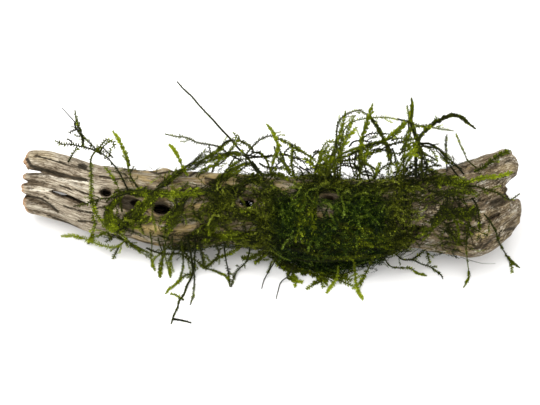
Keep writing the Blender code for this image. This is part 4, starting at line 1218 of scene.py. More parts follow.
# name, kind, tone, then the route: column, row, column, row and so on. The rod in the frame is stem_NAME
RODS = (
    ("left_tall", "leafy", 0.22, 128, 190, 116, 168, 107, 157.5, 96, 149.5, 89, 142, 82, 135.5, 79, 127,
        76, 118, 74.8, 109.5),
    ("left_hair", "hair", 0.2, 78, 127, 73, 120, 67, 113.5, 62, 108),
    ("left_fork", "toothed", 0.05, 97, 151.5, 90, 148.5, 79, 146, 70, 144, 62, 144, 55, 140.5),
    ("left_drop", "leafy", 0.45, 68, 162, 71, 157, 73, 153, 78, 148),
    ("left_loop", "toothed", 0.35, 97, 153, 98.5, 149, 102, 144, 107, 139.6, 112, 141.5, 115, 148.6),
    ("left_hanging", "toothed", 0.5, 97, 150, 93, 154, 90.6, 160, 91, 170, 91, 184, 91.5, 200, 95, 211,
        101, 221, 107, 228, 115, 232.5),
    ("left_spear", "spear", 0.75, 129, 172, 127, 160, 123, 149, 118.5, 139, 112.5, 130.7),
    ("across_wood", "wiry", 0.45, 130, 193, 119, 196, 110, 198, 98, 199.5, 89, 203, 73, 206.6),
    ("low_left_trail", "toothed", 1.0, 127, 238, 118, 246, 110, 247, 101, 245, 87.5, 239.6, 74, 236,
        60.7, 236),
    ("low_left_twig", "leafy", 0.8, 112, 240, 107, 232.5, 98, 236, 90, 239.6, 88, 244),
    ("diagonal_bundle", "leafy", 0.5, 150, 194, 162, 185, 171, 178, 180, 170.5, 189, 166, 198, 161.6,
        205, 158, 212, 153.6, 220, 150, 225, 144.6, 230, 141),
    ("middle_spear", "spear", 0.8, 188, 176, 184, 169, 180, 161, 176, 152.5, 169, 144),
    ("high_branch", "leafy", 0.4, 240, 160, 228, 153.6, 219.6, 147, 209, 144.6, 195.5, 142, 188, 138,
        173, 136, 165, 134),
    ("long_whip", "whip", 0.5, 258, 173, 252, 164.5, 246, 155.5, 239, 149, 231, 139.5, 221, 129, 214,
        121, 207, 113.6, 198, 104, 192, 96.6, 184, 89.5, 177, 81.4),
    ("first_arch", "leafy", 0.45, 246, 166, 247, 153, 252, 147.5, 256, 143, 261.6, 138.6, 268, 136, 273,
        136, 278, 138.6, 284, 141, 290, 145, 297, 158),
    ("middle_tip", "spear", 0.75, 270, 172, 274, 160, 278, 146, 276, 138.6, 271, 129, 266, 124),
    ("middle_fall", "leafy", 0.5, 288, 168, 283, 158, 291, 147, 301, 150, 307, 154.5, 316, 161),
    ("tuft_left", "leafy", 0.7, 326, 178, 331, 162, 334, 150, 338, 138, 344, 120, 345.5, 110.4),
    ("tuft_middle", "leafy", 0.65, 334, 178, 338, 160, 343, 143, 350, 126, 354.3, 115.7),
    ("tuft_right", "leafy", 0.75, 340, 178, 341, 160, 345, 143, 352, 133, 357, 127),
    ("outer_arch", "leafy", 0.5, 332, 168, 336, 150, 336.6, 134, 337.5, 125, 341, 118, 347, 114, 354,
        111, 361, 110.4, 366, 114, 370.5, 118, 376, 124.6, 380, 132, 384, 138, 387, 144, 389, 152, 391,
        166),
    ("inner_arch", "leafy", 0.7, 337, 160, 341, 142, 344.6, 129, 350, 123, 357, 120, 369, 118, 380, 117,
        389, 117.5, 396, 119, 406, 121.5),
    ("slanting_tip", "bushy", 0.5, 360, 180, 360, 160, 361.6, 140, 367, 124.6, 371, 110, 372.8, 103),
    ("leafy_diagonal", "spear", 0.55, 330, 170, 338, 157, 350, 150.5, 362.5, 146, 374, 143, 384, 141,
        391, 135, 399, 128, 406, 123),
    ("tall_tip", "thick", 0.45, 422, 178, 420.5, 150, 415, 133, 410.7, 122, 412, 110, 411.6, 97.4),
    ("right_arch", "thick", 0.1, 416, 178, 416, 158, 418, 141, 425, 131, 432, 124.6, 440, 120, 447,
        116.6, 455, 115, 461.6, 117.5, 468, 123, 476, 129),
    ("right_reach", "leafy", 0.5, 403, 178, 405, 150, 409, 130, 421, 126, 436, 128, 454.5, 131),
    ("right_upright", "slender", 0.2, 447, 172, 446.4, 155, 446, 143, 447, 134),
    ("right_hook", "slender", 0.6, 477, 168, 467, 159.5, 464, 152, 461, 146, 458, 139, 456, 132.7),
    ("right_ridge", "bushy", 0.25, 474, 172, 485, 166, 494, 158.6, 503, 153, 511, 150.5),
    ("right_bright", "bushy", 0.8, 466, 183, 471, 181, 480, 178, 489, 177, 498, 176, 507, 174, 512.5,
        172),
    ("right_trail", "wiry", 0.6, 464, 188, 471, 186, 485, 189, 498, 193, 510, 199.6, 520, 193.4),
    ("right_low", "slender", 0.3, 484, 214, 489, 220, 494.6, 229, 500, 244, 505, 253, 511, 261, 520,
        268),
    ("right_hanging", "slender", 0.55, 470, 222, 467, 235, 466, 246, 467, 258, 468, 267, 469, 274, 468,
        280, 463, 288),
    ("low_far_right", "slender", 0.55, 384, 258, 390, 266, 402.5, 268, 410, 268, 417, 273, 427, 276),
    ("low_hair", "wiry", 0.6, 396, 254, 402, 259, 413, 260, 422, 264, 431, 267, 437, 272, 443, 277),
    ("low_stem", "wiry", 0.55, 195, 236, 195, 245, 194, 267, 194, 287, 193, 296, 190, 305),
    ("low_whip", "whip", 0.6, 187, 238, 191, 256, 192, 276, 187, 285, 183, 296, 180, 299, 178, 306, 174,
        315, 171, 324),
    ("low_whip_twig", "whip", 0.4, 173, 319, 182, 320.5, 191.5, 323),
    ("low_left_tip", "slender", 0.7, 181, 240, 183, 256, 182, 272, 176, 284, 170, 288, 165, 294),
    ("low_cluster", "slender", 0.6, 166, 240, 164, 252, 162, 264, 160, 278),
    ("low_middle", "slender", 0.5, 198, 242, 202, 254, 205, 268, 212.5, 270, 220, 273, 227, 277, 229.5,
        283, 230, 287),
    ("low_slant", "wiry", 0.5, 250, 248, 246, 262, 242, 266, 236, 272, 233, 280, 231, 287),
    ("low_twig", "hair", 0.5, 277, 256, 274, 262.5, 269, 271, 264, 280, 261.6, 289),
    ("clump_left_tip", "hair", 0.5, 296, 262, 287, 277, 281, 282, 278, 291, 276, 299),
    ("clump_tip", "spear", 0.95, 338, 266, 337, 277, 332, 285, 326, 293),
    ("clump_right_tip", "spear", 0.95, 354, 262, 355, 271, 356, 283, 359, 293, 363, 300),
    ("clump_far_tip", "leafy", 0.7, 374, 256, 370, 265, 366, 273, 362, 280, 360, 287.5),
)
# kind, tone, lifts at the root and at the tip in mm, then the route
STRAYS = (
    ("wiry", 0.4, 1, 1, 82, 135.5, 83.5, 141, 83.5, 145.5),
    ("wiry", 0.5, 1, 2, 82, 147, 83, 140, 79.5, 129, 76, 120),
    ("wiry", 0.5, 1, 3, 72, 142, 70, 140.5, 67, 139),
    ("wiry", 0.4, 1, 3, 78.6, 129, 73, 130.5, 69, 132.5),
    ("leafy", 0.5, 4, 3, 109, 157, 110, 152, 110.7, 148),
    ("leafy", 0.6, 9, 9, 98, 200, 94, 208, 93, 216, 95, 226, 91, 235),
    ("leafy", 0.7, 3, 1, 130, 166, 128, 158, 126, 152),
    ("leafy", 0.7, -6, -9, 119, 246, 116, 252, 112.5, 259),
    ("leafy", 0.6, -6, -9, 114, 234, 111, 238, 106, 242),
    ("leafy", 0.8, -5, -9, 107, 232.5, 98, 232, 94.6, 232.5, 90, 239.6),
    ("tipped", 0.5, 1, 2, 212, 172, 214, 167, 221, 163, 227, 157, 233, 146, 239, 140),
    ("leafy", 0.5, 1, 1, 228.6, 166, 233, 160, 236, 156, 244, 150),
    ("wiry", 0.4, 1, 1, 211.6, 156, 210, 150, 209, 146),
    ("leafy", 0.5, 0, 0, 253.6, 152, 252, 147.5, 246, 144, 239, 140, 236.6, 137, 233, 132),
    ("leafy", 0.6, 0, 1, 212, 155, 220, 148, 227, 143, 232, 140, 239, 140),
    ("wiry", 0.3, 2, 2, 246, 158, 262, 157, 270, 156, 286, 155, 294, 157.6, 307, 159.4),
    ("wiry", 0.4, 3, 3, 248, 156, 253, 153, 258, 152, 262.5, 153.6, 265, 158, 269, 166),
    ("leafy", 0.8, 3, 2, 291, 176, 287.5, 169, 283, 162.5, 280, 155, 277, 147),
    ("leafy", 0.6, 3, 4, 297, 181, 293, 170.5, 291, 161, 292, 148),
    ("wiry", 0.4, 2, 3, 304.5, 179, 301, 170.5, 296, 166.5, 287.5, 166),
    ("leafy", 0.6, 1, 1, 277, 138, 285, 142, 294, 145.5, 301, 151),
    ("leafy", 0.6, 3, 2, 318, 170, 320, 160, 322, 150, 325, 144, 329.5, 141, 336, 142),
    ("leafy", 0.5, 3, 2, 312, 158, 316, 153, 323, 153.6, 329.5, 150, 334, 146),
    ("leafy", 0.7, 2, 3, 334, 150, 336, 143, 341, 135, 341.5, 124.6),
    ("leafy", 0.6, 2, 1, 336, 152, 339, 144, 346, 138, 353, 131, 357, 127),
    ("wiry", 0.4, 4, 3, 349, 147, 353, 142, 361.4, 139.8, 366.3, 135.6, 370.5, 133.5, 378.8, 133.5,
        389.6, 134),
    ("wiry", 0.4, 3, 3, 361.4, 139.8, 366.3, 141.4, 372, 142),
    ("leafy", 0.3, 3, 3, 380, 150, 385.4, 147, 391, 144.7, 399.5, 142, 407.8, 139.8, 415.3, 139),
    ("leafy", 0.4, 4, 3, 371.3, 150.5, 378.8, 148.9, 387, 151.4, 395.4, 153.8, 403.6, 152.2, 412, 146.4,
        418.6, 141.4),
    ("leafy", 0.4, 5, 4, 337.3, 161.3, 346.4, 160.5, 356.4, 158.8, 366.3, 155.5, 371.3, 152.2),
    ("leafy", 0.3, 5, 3, 338, 158, 348, 156, 357, 152, 366, 149, 374, 146),
    ("wiry", 0.3, 5, 3, 340, 154, 350, 151, 360, 147.5, 370, 144.5, 380, 143, 392, 146),
    ("leafy", 0.4, 5, 4, 336.5, 163, 346.4, 163.8, 353, 163.8),
    ("wiry", 0.4, 5, 4, 337.3, 168, 341.5, 165.5, 349.8, 166.3, 358, 169.6),
    ("wiry", 0.3, 5, 4, 349, 153, 350.6, 164.6, 354, 173, 354, 180),
    ("wiry", 0.2, 5, 4, 356, 154, 355, 164, 357, 172, 357, 180),
    ("whip", 0.3, 4, 4, 353, 163, 358, 168.8, 363, 174.6, 368.8, 175.4, 375, 177),
    ("whip", 0.3, 3, 3, 356.4, 166, 361, 172, 366.3, 171.3, 372, 174),
    ("whip", 0.3, 3, 3, 358, 163, 366.3, 164.6, 374.6, 168.8, 380, 174),
    ("spear", 0.5, 5, 5, 372, 181, 377, 170.4, 380.8, 162),
    ("leafy", 0.3, 4, 4, 374.6, 179, 381.3, 168.8, 387.9, 164.6, 395.4, 163, 399.5, 164.6),
    ("leafy", 0.4, 3, 4, 388, 145, 391.2, 153, 390.4, 161.3, 387.9, 169.6, 389.6, 180),
    ("leafy", 0.3, 3, 4, 392, 148, 394.5, 154.7, 396.2, 164.6, 397.8, 171.3, 401.2, 180),
    ("wiry", 0.2, 4, 4, 399.5, 180, 404.5, 172.9, 410.3, 167, 414.4, 169.6, 420.2, 173.7, 430, 174.6),
    ("wiry", 0.3, 4, 3, 393, 173, 397, 171.3, 403.6, 169.6, 410.3, 167, 417, 163),
    ("leafy", 0.4, 2, 3, 408.6, 123, 408.6, 136.4, 407, 144, 411, 148, 410.3, 156.3, 411, 170),
    ("leafy", 0.2, 2, 3, 410.3, 123, 413.6, 133, 417, 139.8, 420.2, 148, 424.4, 156.3, 427.7, 166),
    ("spear", 0.6, 4, 4, 396, 176, 400, 166, 406, 157, 412, 150),
    ("spear", 0.5, 5, 4, 404, 170, 407, 162, 412, 154, 417, 148),
    ("spear", 0.6, 5, 5, 400, 160, 405, 155, 413, 154, 420, 158),
    ("leafy", 0.5, 4, 3, 399, 156, 403, 150, 408, 146, 414, 147, 418, 152),
    ("leafy", 0.2, 2, 2, 412, 152, 416, 143, 420.2, 136.4, 424.4, 131.5, 430, 127.3),
    ("leafy", 0.5, 2, 2, 398, 119, 407.8, 121.5, 416, 124.8, 422.7, 126.5, 432, 126.5),
    ("whip", 0.3, 2, 2, 412, 149, 419.4, 152.2, 430, 156.3, 438, 161),
    ("wiry", 0.3, 2, 2, 412, 146, 418.6, 148, 424.4, 146.4, 430, 147.2, 437, 149),
    ("whip", 0.3, 3, 2, 420, 144, 428, 143.5, 436, 147, 443, 154, 448, 162),
    ("wiry", 0.3, 3, 2, 418, 158, 426, 159, 434, 163, 440, 166),
    ("leafy", 0.6, 2, 2, 402, 148, 409, 138, 411, 128, 409, 117.5, 407, 105),
    ("wiry", 0.3, 3, 3, 318, 172, 324, 163, 329, 157, 335, 152, 341, 146),
    ("leafy", 0.5, 4, 4, 316, 180, 321, 170, 327, 163, 334, 158),
    ("spear", 0.4, 4, 5, 320, 184, 325, 174, 329, 165, 332, 156),
    ("spear", 0.5, 5, 5, 327, 186, 329, 175, 331, 165, 334, 157),
    ("leafy", 0.6, 5, 5, 334, 186, 334, 175, 335, 165, 338, 156),
    ("spear", 0.4, 5, 5, 322, 178, 326, 168, 326, 160, 329, 152),
    ("leafy", 0.3, 4, 4, 340, 184, 338, 174, 337, 164, 341, 152),
    ("leafy", 0.4, 4, 4, 316, 168, 323, 165, 330, 160, 336, 153, 341, 146),
    ("leafy", 0.4, 4, 4, 314, 176, 322, 174, 330, 170, 336, 163),
    ("leafy", 0.6, 1, 1, 432, 125, 434, 121, 437.5, 117.5),
    ("leafy", 0.5, 2, 3, 400, 150, 413, 143, 425, 146, 433, 152, 438, 162),
    ("wiry", 0.3, 2, 2, 251, 151.5, 257.5, 152.7, 264, 156.5, 268, 163, 270, 169),
    ("wiry", 0.2, 2, 2, 247, 155, 257.5, 156.5, 269, 156.5, 275, 155),
    ("leafy", 0.3, 2, 3, 276, 140, 279, 149, 282, 155, 285, 164, 289, 175),
    ("leafy", 0.6, 3, 3, 274, 146, 278, 158, 283, 163, 288, 169, 296, 178),
    ("wiry", 0.2, 1, 2, 287, 155, 296, 158, 303.5, 161.6, 313, 164),
    ("wiry", 0.3, 3, 3, 292, 144, 292.6, 154, 292, 163, 293, 173),
    ("leafy", 0.3, 3, 3, 259, 163, 265, 166.7, 274, 168, 280.5, 168, 287, 169, 293, 172),
    ("wiry", 0.1, 3, 3, 252, 161, 257.5, 168, 262.6, 175),
    ("wiry", 0.2, 2, 5, 242, 155, 248.6, 159, 252.4, 164, 259, 172, 265, 182),
    ("leafy", 0.4, 2, 2, 226, 170, 236, 163, 243.5, 159, 252, 158),
    ("leafy", 0.2, 4, 2, 226, 175, 231, 169, 237, 166.7, 245, 163, 252, 166),
    ("leafy", 0.3, 2, 1, 219, 149, 227, 141, 232, 140, 241, 141, 251, 147.6),
    ("leafy", 0.7, 2, 2, 296, 149, 303.5, 152.7, 311, 156.5, 316, 162),
    ("leafy", 0.2, 2, 2, 313, 153, 317, 151, 322, 152, 329, 144),
    ("wiry", 0.2, 2, 2, 299, 166, 306, 170, 312, 168, 318, 164),
    ("wiry", 0.2, 3, 3, 268, 176, 272, 170, 277, 165, 282, 158),
    ("leafy", 0.4, 3, 3, 236, 176, 240, 170, 246, 166, 250, 160),
    ("leafy", 0.3, 1, 1, 74, 123, 77, 130, 82, 136, 88, 141),
    ("leafy", 0.3, 2, 1, 113, 158, 107, 152, 102, 148, 97, 148),
    ("leafy", 0.4, 3, 2, 99, 154, 102, 148, 106, 144, 110, 141),
    ("slender", 0.5, 4, -4, 158, 238, 160, 246, 163, 254, 160, 264, 159, 277),
    ("slender", 0.7, 3, -4, 172, 240, 167, 248, 160, 254, 153, 261, 152, 268),
    ("slender", 0.75, 3, -5, 163, 244, 165, 256, 168, 266, 170.5, 277),
    ("leafy", 0.4, 3, -3, 146, 248, 156, 252, 168, 254, 181, 254, 190, 262, 196, 271),
    ("leafy", 0.3, 3, -3, 182, 240, 176, 248, 172, 254, 168, 262),
    ("bushy", 0.4, 3, -4, 268, 249, 262, 251.5, 255, 256, 248, 258, 241, 257),
    ("bushy", 0.5, 3, -4, 270, 250, 262, 257, 255, 264),
    ("leafy", 0.35, 3, -3, 200, 240, 201, 250, 203, 258, 205, 266),
    ("leafy", 0.3, 3, -3, 215, 243, 219, 252, 213, 262, 206, 268),
    ("slender", 0.5, 8, 7, 106, 212, 109, 220, 113, 228, 120, 234, 128, 240),
    ("leafy", 0.5, 8, 8, 110, 204, 108, 214, 111, 224, 118, 232),
    ("leafy", 0.3, 8, 8, 118, 226, 124, 218, 130, 212, 138, 208, 146, 200),
    ("creeper", 0.6, 8, 8, 150, 198, 153, 205, 152, 213, 154, 222, 156, 232),
    ("wiry", 0.3, 4, 3, 458, 176, 452, 168, 444, 158, 436, 150),
    ("wiry", 0.3, 4, 3, 464, 174, 456, 165, 447, 157, 440, 150),
    ("leafy", 0.4, 4, 3, 462, 169, 452, 164, 440, 157),
    ("bushy", 0.3, 6, 4, 262, 176, 270, 174, 280, 175, 290, 179),
    ("leafy", 0.4, 6, 4, 266, 184, 272, 176, 276, 168),
    ("creeper", 0.6, 8, 8, 115, 197, 113, 204, 111, 213, 114, 222),
    ("creeper", 0.7, 8, 8, 114, 202, 117, 211, 115, 220, 119, 230),
    ("creeper", 0.8, 8, 8, 118, 200, 113, 209, 112, 219, 116, 229),
    ("creeper", 0.5, 8, 8, 264, 188, 260, 196, 257, 204, 258, 212, 255, 222),
    ("creeper", 0.3, 8, 8, 253, 190, 257, 198, 262, 206, 264, 216),
    ("creeper", 0.6, 8, 8, 268, 198, 260, 200, 253, 206, 246, 210, 238, 212),
    ("creeper", 0.2, 8, 8, 240, 194, 247, 197, 255, 198, 263, 201, 270, 206),
    ("leafy", 0.5, 6, 3, 356, 180, 360, 172, 364, 162, 366, 152, 372, 144),
    ("wiry", 0.2, 6, 3, 370, 182, 366, 170, 362, 160, 354, 152),
    ("leafy", 0.7, 6, 3, 376, 178, 370, 166, 362, 158, 358, 148),
    ("leafy", 0.5, 6, 3, 313, 182, 315, 174, 317, 166, 320, 158, 326, 152),
    ("leafy", 0.3, 6, 3, 316, 182, 315, 174, 317, 166, 322, 160, 330, 156),
    ("bushy", 0.4, 6, 3, 322, 182, 318, 172, 312, 164, 304, 158),
    ("thick", 0.45, 2, 3, 370, 117, 375, 124, 380, 132, 384, 140, 388, 150, 389, 160),
    ("leafy", 0.6, 6, 3, 326, 180, 322, 170, 320, 160, 322, 150),
    ("bushy", 0.2, 4, 3, 350, 154, 358, 150.5, 367, 147, 376, 144, 385, 140),
    ("bushy", 0.25, 4, 3, 360, 167, 364, 161, 369, 155, 375, 151, 382, 150),
    ("leafy", 0.3, 4, 3, 352, 160, 359, 156, 366, 152, 372, 148),
    ("bushy", 0.5, 3, 3, 388, 140, 394, 136, 400, 129, 406, 122),
    ("wiry", 0.1, 3, 3, 389, 145, 396, 143, 404, 141.5, 412, 139),
    ("leafy", 0.5, 3, 3, 391, 141, 397, 138.5, 404, 138, 410, 136),
    ("slender", 0.05, 4, 3, 421, 146, 431, 147, 440, 150, 449, 157),
    ("leafy", 0.1, 5, 3, 412, 176, 418, 168, 426, 162, 434, 160),
    ("wiry", 0.2, 5, 3, 416, 178, 424, 170, 432, 166, 442, 166),
    ("leafy", 0.3, 5, 3, 408, 174, 416, 170, 427, 170, 438, 172),
    ("wiry", 0.1, 5, 3, 426, 176, 427, 168, 424, 160, 418, 154),
    ("leafy", 0.2, 5, 4, 436, 176, 430, 170, 422, 166, 412, 164),
    ("leafy", 0.8, -8, -9, 508, 256, 511, 263, 512, 273),
    ("slender", 0.75, 5, -7, 150, 232, 152, 245, 151, 257, 155, 271),
    ("slender", 0.6, 5, -7, 172, 236, 172, 250, 170, 262, 170.5, 278),
    ("leafy", 0.7, -7, -9, 193, 274, 186, 275, 181, 279, 178, 284),
    ("leafy", 0.9, -9, -9, 184, 300, 180, 298, 176, 295, 170, 294),
    ("leafy", 0.6, 5, -6, 179.5, 246, 189, 257, 198, 262, 206, 269),
    ("spear", 0.7, -5, -3, 204.5, 268, 212.5, 262, 220, 257, 229, 254, 241, 245.5),
    ("wiry", 0.5, 3, -9, 224, 248, 226, 261, 228, 271, 230, 286),
    ("leafy", 0.6, -5, -3, 246, 260, 253, 257, 263, 251),
    ("leafy", 0.6, -5, -4, 254, 262.5, 261, 258, 268, 252),
    ("slender", 0.6, -6, -7, 272, 261, 270.5, 265, 269.5, 269, 267, 273),
    ("spear", 0.8, -8, -9, 287, 278, 295, 281, 303, 282),
    ("spear", 0.9, -8, -9, 294, 274, 295, 280, 295.5, 287),
    ("bushy", 0.1, -4, -6, 272, 257, 277, 262, 283, 266, 290, 269, 298, 272),
    ("bushy", 0.15, -4, -6, 277, 257, 284, 262, 291, 266, 299, 269, 307, 273),
    ("bushy", 0.2, -5, -6, 274, 259, 279, 265, 285, 269, 291, 271.5),
    ("bushy", 0.1, -4, -6, 286, 261, 292, 266, 299, 270.5, 306, 274.5),
    ("bushy", 0.15, -5, -6, 280, 261, 287, 265, 295, 268.5, 303, 272),
    ("bushy", 0.6, -7, -9, 290, 268, 293, 275, 297, 283),
    ("bushy", 0.8, -8, -9, 286, 273, 292, 279, 300, 281),
    ("bushy", 0.3, -5, -7, 298, 262, 306, 270, 316, 276, 328, 281),
    ("bushy", 0.2, -5, -7, 306, 264, 316, 272, 326, 276, 338, 280),
    ("toothed", 0.4, -5, -7, 312, 268, 320, 272, 324, 279, 326, 284),
    ("bushy", 0.4, -4, -6, 318, 270, 328, 274, 338, 276, 348, 276),
    ("toothed", 0.3, -5, -7, 332, 266, 328, 273, 320, 279, 312, 284),
    ("bushy", 0.1, -5, -6, 308, 262, 316, 268, 326, 271, 336, 272),
    ("leafy", 0.7, -7, -9, 323, 280, 317, 283, 312.5, 285, 306, 289),
    ("leafy", 0.7, -7, -9, 321, 280, 322, 284, 323, 288),
    ("leafy", 0.7, -7, -9, 334, 276, 344, 279, 352, 280),
    ("leafy", 0.7, -7, -9, 333, 277, 344, 282, 353, 286),
    ("leafy", 0.6, -6, -7, 333, 276, 344, 274, 356, 270),
    ("leafy", 0.6, -6, -7, 411, 260, 420, 254, 426, 249),
    ("leafy", 0.6, -5, -7, 426, 248, 428, 257, 430, 264),
    ("hair", 0.6, -9, -9, 437, 272, 441, 275, 443, 279),
    ("leafy", 0.6, 6, 6, 430, 176, 440, 182, 451, 184, 462, 180),
    ("wiry", 0.4, 7, 7, 428, 190, 440, 193, 452, 190, 464, 193, 475, 190),
    ("leafy", 0.6, 8, 7, 440, 205, 450, 212, 456, 222, 459, 234, 458, 246),
    ("wiry", 0.5, 8, 8, 446, 224, 458, 222, 469, 226, 480, 232, 488, 236),
    ("leafy", 0.1, 8, 7, 472, 198, 477, 206, 479, 218, 480, 230),
    ("leafy", 0.5, 8, 7, 104, 206, 110, 213, 118, 220, 128, 226, 140, 228),
    ("leafy", 0.7, 8, 8, 106, 202, 112, 196, 122, 193, 134, 192, 148, 195),
    ("leafy", 0.7, 9, 9, 113, 222, 110, 214, 112, 206, 119, 199),
    ("leafy", 0.6, 8, 8, 150, 216, 142, 221, 132, 222, 124, 217),
    ("leafy", 0.6, 4, 3, 122, 212, 120, 200, 118, 188, 112, 176, 104, 166),
    ("wiry", 0.5, 4, 3, 140, 190, 134, 182, 130, 174, 134, 166),
)
# kind, tone, how many run together, their spread in pixels, both lifts in mm, then the route
ROPES = (
    ("creeper", 0.42, 13, 1.7, 8, 8, 112, 198, 117, 194, 124, 192, 135, 193, 150, 194, 165, 194, 180,
        194.5, 196, 193, 208, 190),
    ("creeper", 0.62, 8, 2.4, 8, 8, 122, 194, 114, 199, 108, 207, 106, 217, 108, 227, 115, 233, 124,
        238),
    ("creeper", 0.22, 16, 2.2, 8, 8, 112, 236, 122, 228, 132, 219, 141, 210, 149, 202, 156, 196, 168,
        190),
    ("creeper", 0.1, 11, 1.3, 7, 5, 150, 195, 160, 187, 168, 181, 177, 174, 187, 167),
    ("creeper", 0.15, 6, 3.2, 6, 3, 170, 178, 183, 169, 196, 162, 210, 156, 226, 153),
    ("creeper", 0.65, 6, 1.2, 6, -5, 100, 232, 106, 233, 114, 234, 122, 238, 132, 244, 142, 249, 150,
        254, 157, 260),
    ("creeper", 0.35, 6, 3.0, 8, 8, 178, 192, 175, 204, 171, 214, 166, 223, 160, 232),
    ("creeper", 0.25, 8, 3.2, 8, 4, 190, 194, 181, 205, 176, 218, 171, 230, 168, 242),
    ("creeper", 0.3, 12, 3.0, 8, 4, 226, 202, 218, 212, 214, 224, 208, 236, 202, 248),
    ("creeper", 0.35, 10, 2.2, 8, 4, 200, 194, 212, 186, 224, 177, 236, 168, 248, 160),
    ("creeper", 0.2, 10, 2.4, 8, 3, 226, 196, 236, 188, 246, 181, 258, 176, 272, 170),
    ("creeper", 0.3, 10, 3.0, 8, 7, 172, 238, 190, 236, 204, 234, 222, 238, 240, 238, 256, 232),
    ("creeper", 0.8, 4, 1.2, 3, 2, 209, 170, 217, 162, 222, 159, 228, 156),
    ("creeper", 0.8, 4, 1.2, 5, 3, 197, 180, 201, 172, 209, 168, 216, 166),
    ("creeper", 0.45, 4, 3.4, 3, 3, 184, 170, 196, 164, 206, 159, 216, 157, 232, 156),
    ("creeper", 0.4, 3, 3.4, 3, 3, 190, 174, 200, 168, 212, 160, 220, 152, 226, 146),
    ("creeper", 0.25, 8, 1.4, 2, 2, 211, 156, 219, 156, 228, 155, 238, 153, 246, 156),
    ("creeper", 0.1, 10, 5.0, 9, 7, 262, 240, 290, 246, 320, 250, 350, 252, 380, 250, 400, 244),
    ("creeper", 0.15, 10, 5.0, 9, 8, 300, 226, 330, 232, 360, 236, 390, 236, 412, 228),
    ("creeper", 0.7, 3, 1.0, 9, 8, 316, 210, 332, 222, 346, 230, 360, 240, 378, 247, 396, 252),
    ("creeper", 0.55, 8, 2.4, 8, 6, 308, 178, 306, 195, 300, 212, 302, 230, 306, 250),
    ("creeper", 0.55, 8, 2.4, 8, 6, 318, 182, 314, 200, 312, 218, 318, 238),
    ("creeper", 0.25, 9, 3.2, 8, 6, 448, 188, 446, 204, 440, 214, 432, 224, 424, 230, 414, 238),
    ("creeper", 0.1, 4, 4.6, 8, 5, 458, 186, 460, 198, 465, 212, 470, 228, 468, 242),
    ("creeper", 0.3, 8, 4.2, 8, 8, 424, 198, 440, 191, 456, 188, 470, 191, 480, 198),
    ("creeper", 0.3, 9, 3.8, 6, 7, 414, 182, 430, 177, 446, 178, 460, 183, 474, 181),
    ("creeper", 0.1, 7, 4.0, 8, 8, 434, 208, 446, 213, 458, 214, 472, 211, 478, 206),
    ("creeper", 0.25, 5, 3.4, 8, 6, 436, 220, 446, 230, 456, 240, 466, 247),
)
STRAND_POINTS = 26
MOST_MOVES, MOVE = 60, 0.3 * MM
LEAST_CLEARANCE, FELT_SHARE = 0.25 * MM, 0.7
RIGHT_X = max(RIGHT_END_PLACES[1])


def route_points(numbers):
    """Even steps along a smooth curve through a route's pixels."""
    route = as_route(numbers)
    lengths = np.concatenate([[0], np.cumsum(np.hypot(*np.diff(route, axis=0).T))])
    wanted = np.linspace(0, lengths[-1], STRAND_POINTS)
    return curve_through(lengths, route[:, 0])(wanted), curve_through(lengths, route[:, 1])(wanted)


def clear_of_stick(columns, rows, depths):
    """Depths brought nearer to the eye until each point is off the wood, in front of most of the felt."""
    for _ in range(MOST_MOVES):
        points = seen_at_depth(columns, rows, depths)
        x = np.clip(points[:, 0], *STICK_X)
        away = points - on_axis(x)
        away[:, 0] = 0
        angle = angle_of(away)
        felt = felt_thickness(x, angle) * (growth_at(x, angle) > 0.3)
        free_from = wood_surface(x, angle) + FELT_SHARE * felt + LEAST_CLEARANCE
        blocked = np.linalg.norm(away, axis=1) < free_from
        blocked &= (points[:, 0] > STICK_X[0]) & (points[:, 0] < RIGHT_X)
        blocked |= points[:, 2] < 0.2 * MM
        if not blocked.any():
            break
        depths = depths + MOVE * blocked
    return np.convolve(np.pad(depths, 2, mode="edge"), np.ones(5) / 5, mode="valid")


def lifted(columns, rows, lifts):
    """Depths this many mm in front of the stick's axis, or more where the stick is in the way."""
    x = x_of_column(np.clip(columns, *STICK_COLUMNS))
    return clear_of_stick(columns, rows, axis_depth(x) + lifts * MM)


def rod_depths(name, columns, rows):
    """How near to the eye a rod of the frame runs, at pixels along its route."""
    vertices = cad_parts["stem_" + name].data.vertices
    at_column, at_row, depth = pixel_of([vert.co for vert in vertices])
    near = 1 / ((columns[:, None] - at_column) ** 2 + (rows[:, None] - at_row) ** 2 + 1.5) ** 2
    return near @ depth / near.sum(axis=1)


def beside_route(columns, rows, spread):
    """A length of a route, moved aside and swinging a little."""
    steps = np.arange(STRAND_POINTS)
    part = np.linspace(CHANCE.uniform(0, 0.35), CHANCE.uniform(0.65, 1), STRAND_POINTS)
    swing = np.sin(np.linspace(0, CHANCE.uniform(2, 7), STRAND_POINTS) + CHANCE.uniform(0, 6))
    aside = spread * (CHANCE.normal(0, 0.8) + 0.7 * swing)
    along = [columns, rows, np.gradient(columns), np.gradient(rows)]
    column, row, *ahead = (np.interp(part * (STRAND_POINTS - 1), steps, values) for values in along)
    over, down = unit(np.stack(ahead, axis=-1)).T
    return column - down * aside, row + over * aside


strands = []
for name, kind, tone, *route in RODS:
    line = route_points(route)
    strands.append((kind, tone, *line, rod_depths(name, *line)))
for kind, tone, root_lift, tip_lift, *route in STRAYS:
    line = route_points(route)
    lifts = np.linspace(root_lift, tip_lift, STRAND_POINTS)
    strands.append((kind, tone, *line, lifted(*line, lifts)))
for kind, tone, count, spread, root_lift, tip_lift, *route in ROPES:
    middle_line = route_points(route)
    for _ in range(count):
        line = beside_route(*middle_line, spread)
        lifts = np.linspace(root_lift, tip_lift, STRAND_POINTS) + CHANCE.uniform(-0.8, 0.8)
        strands.append((kind, tone + CHANCE.normal(0, 0.15), *line, lifted(*line, lifts)))
print(len(strands), "free shoots")

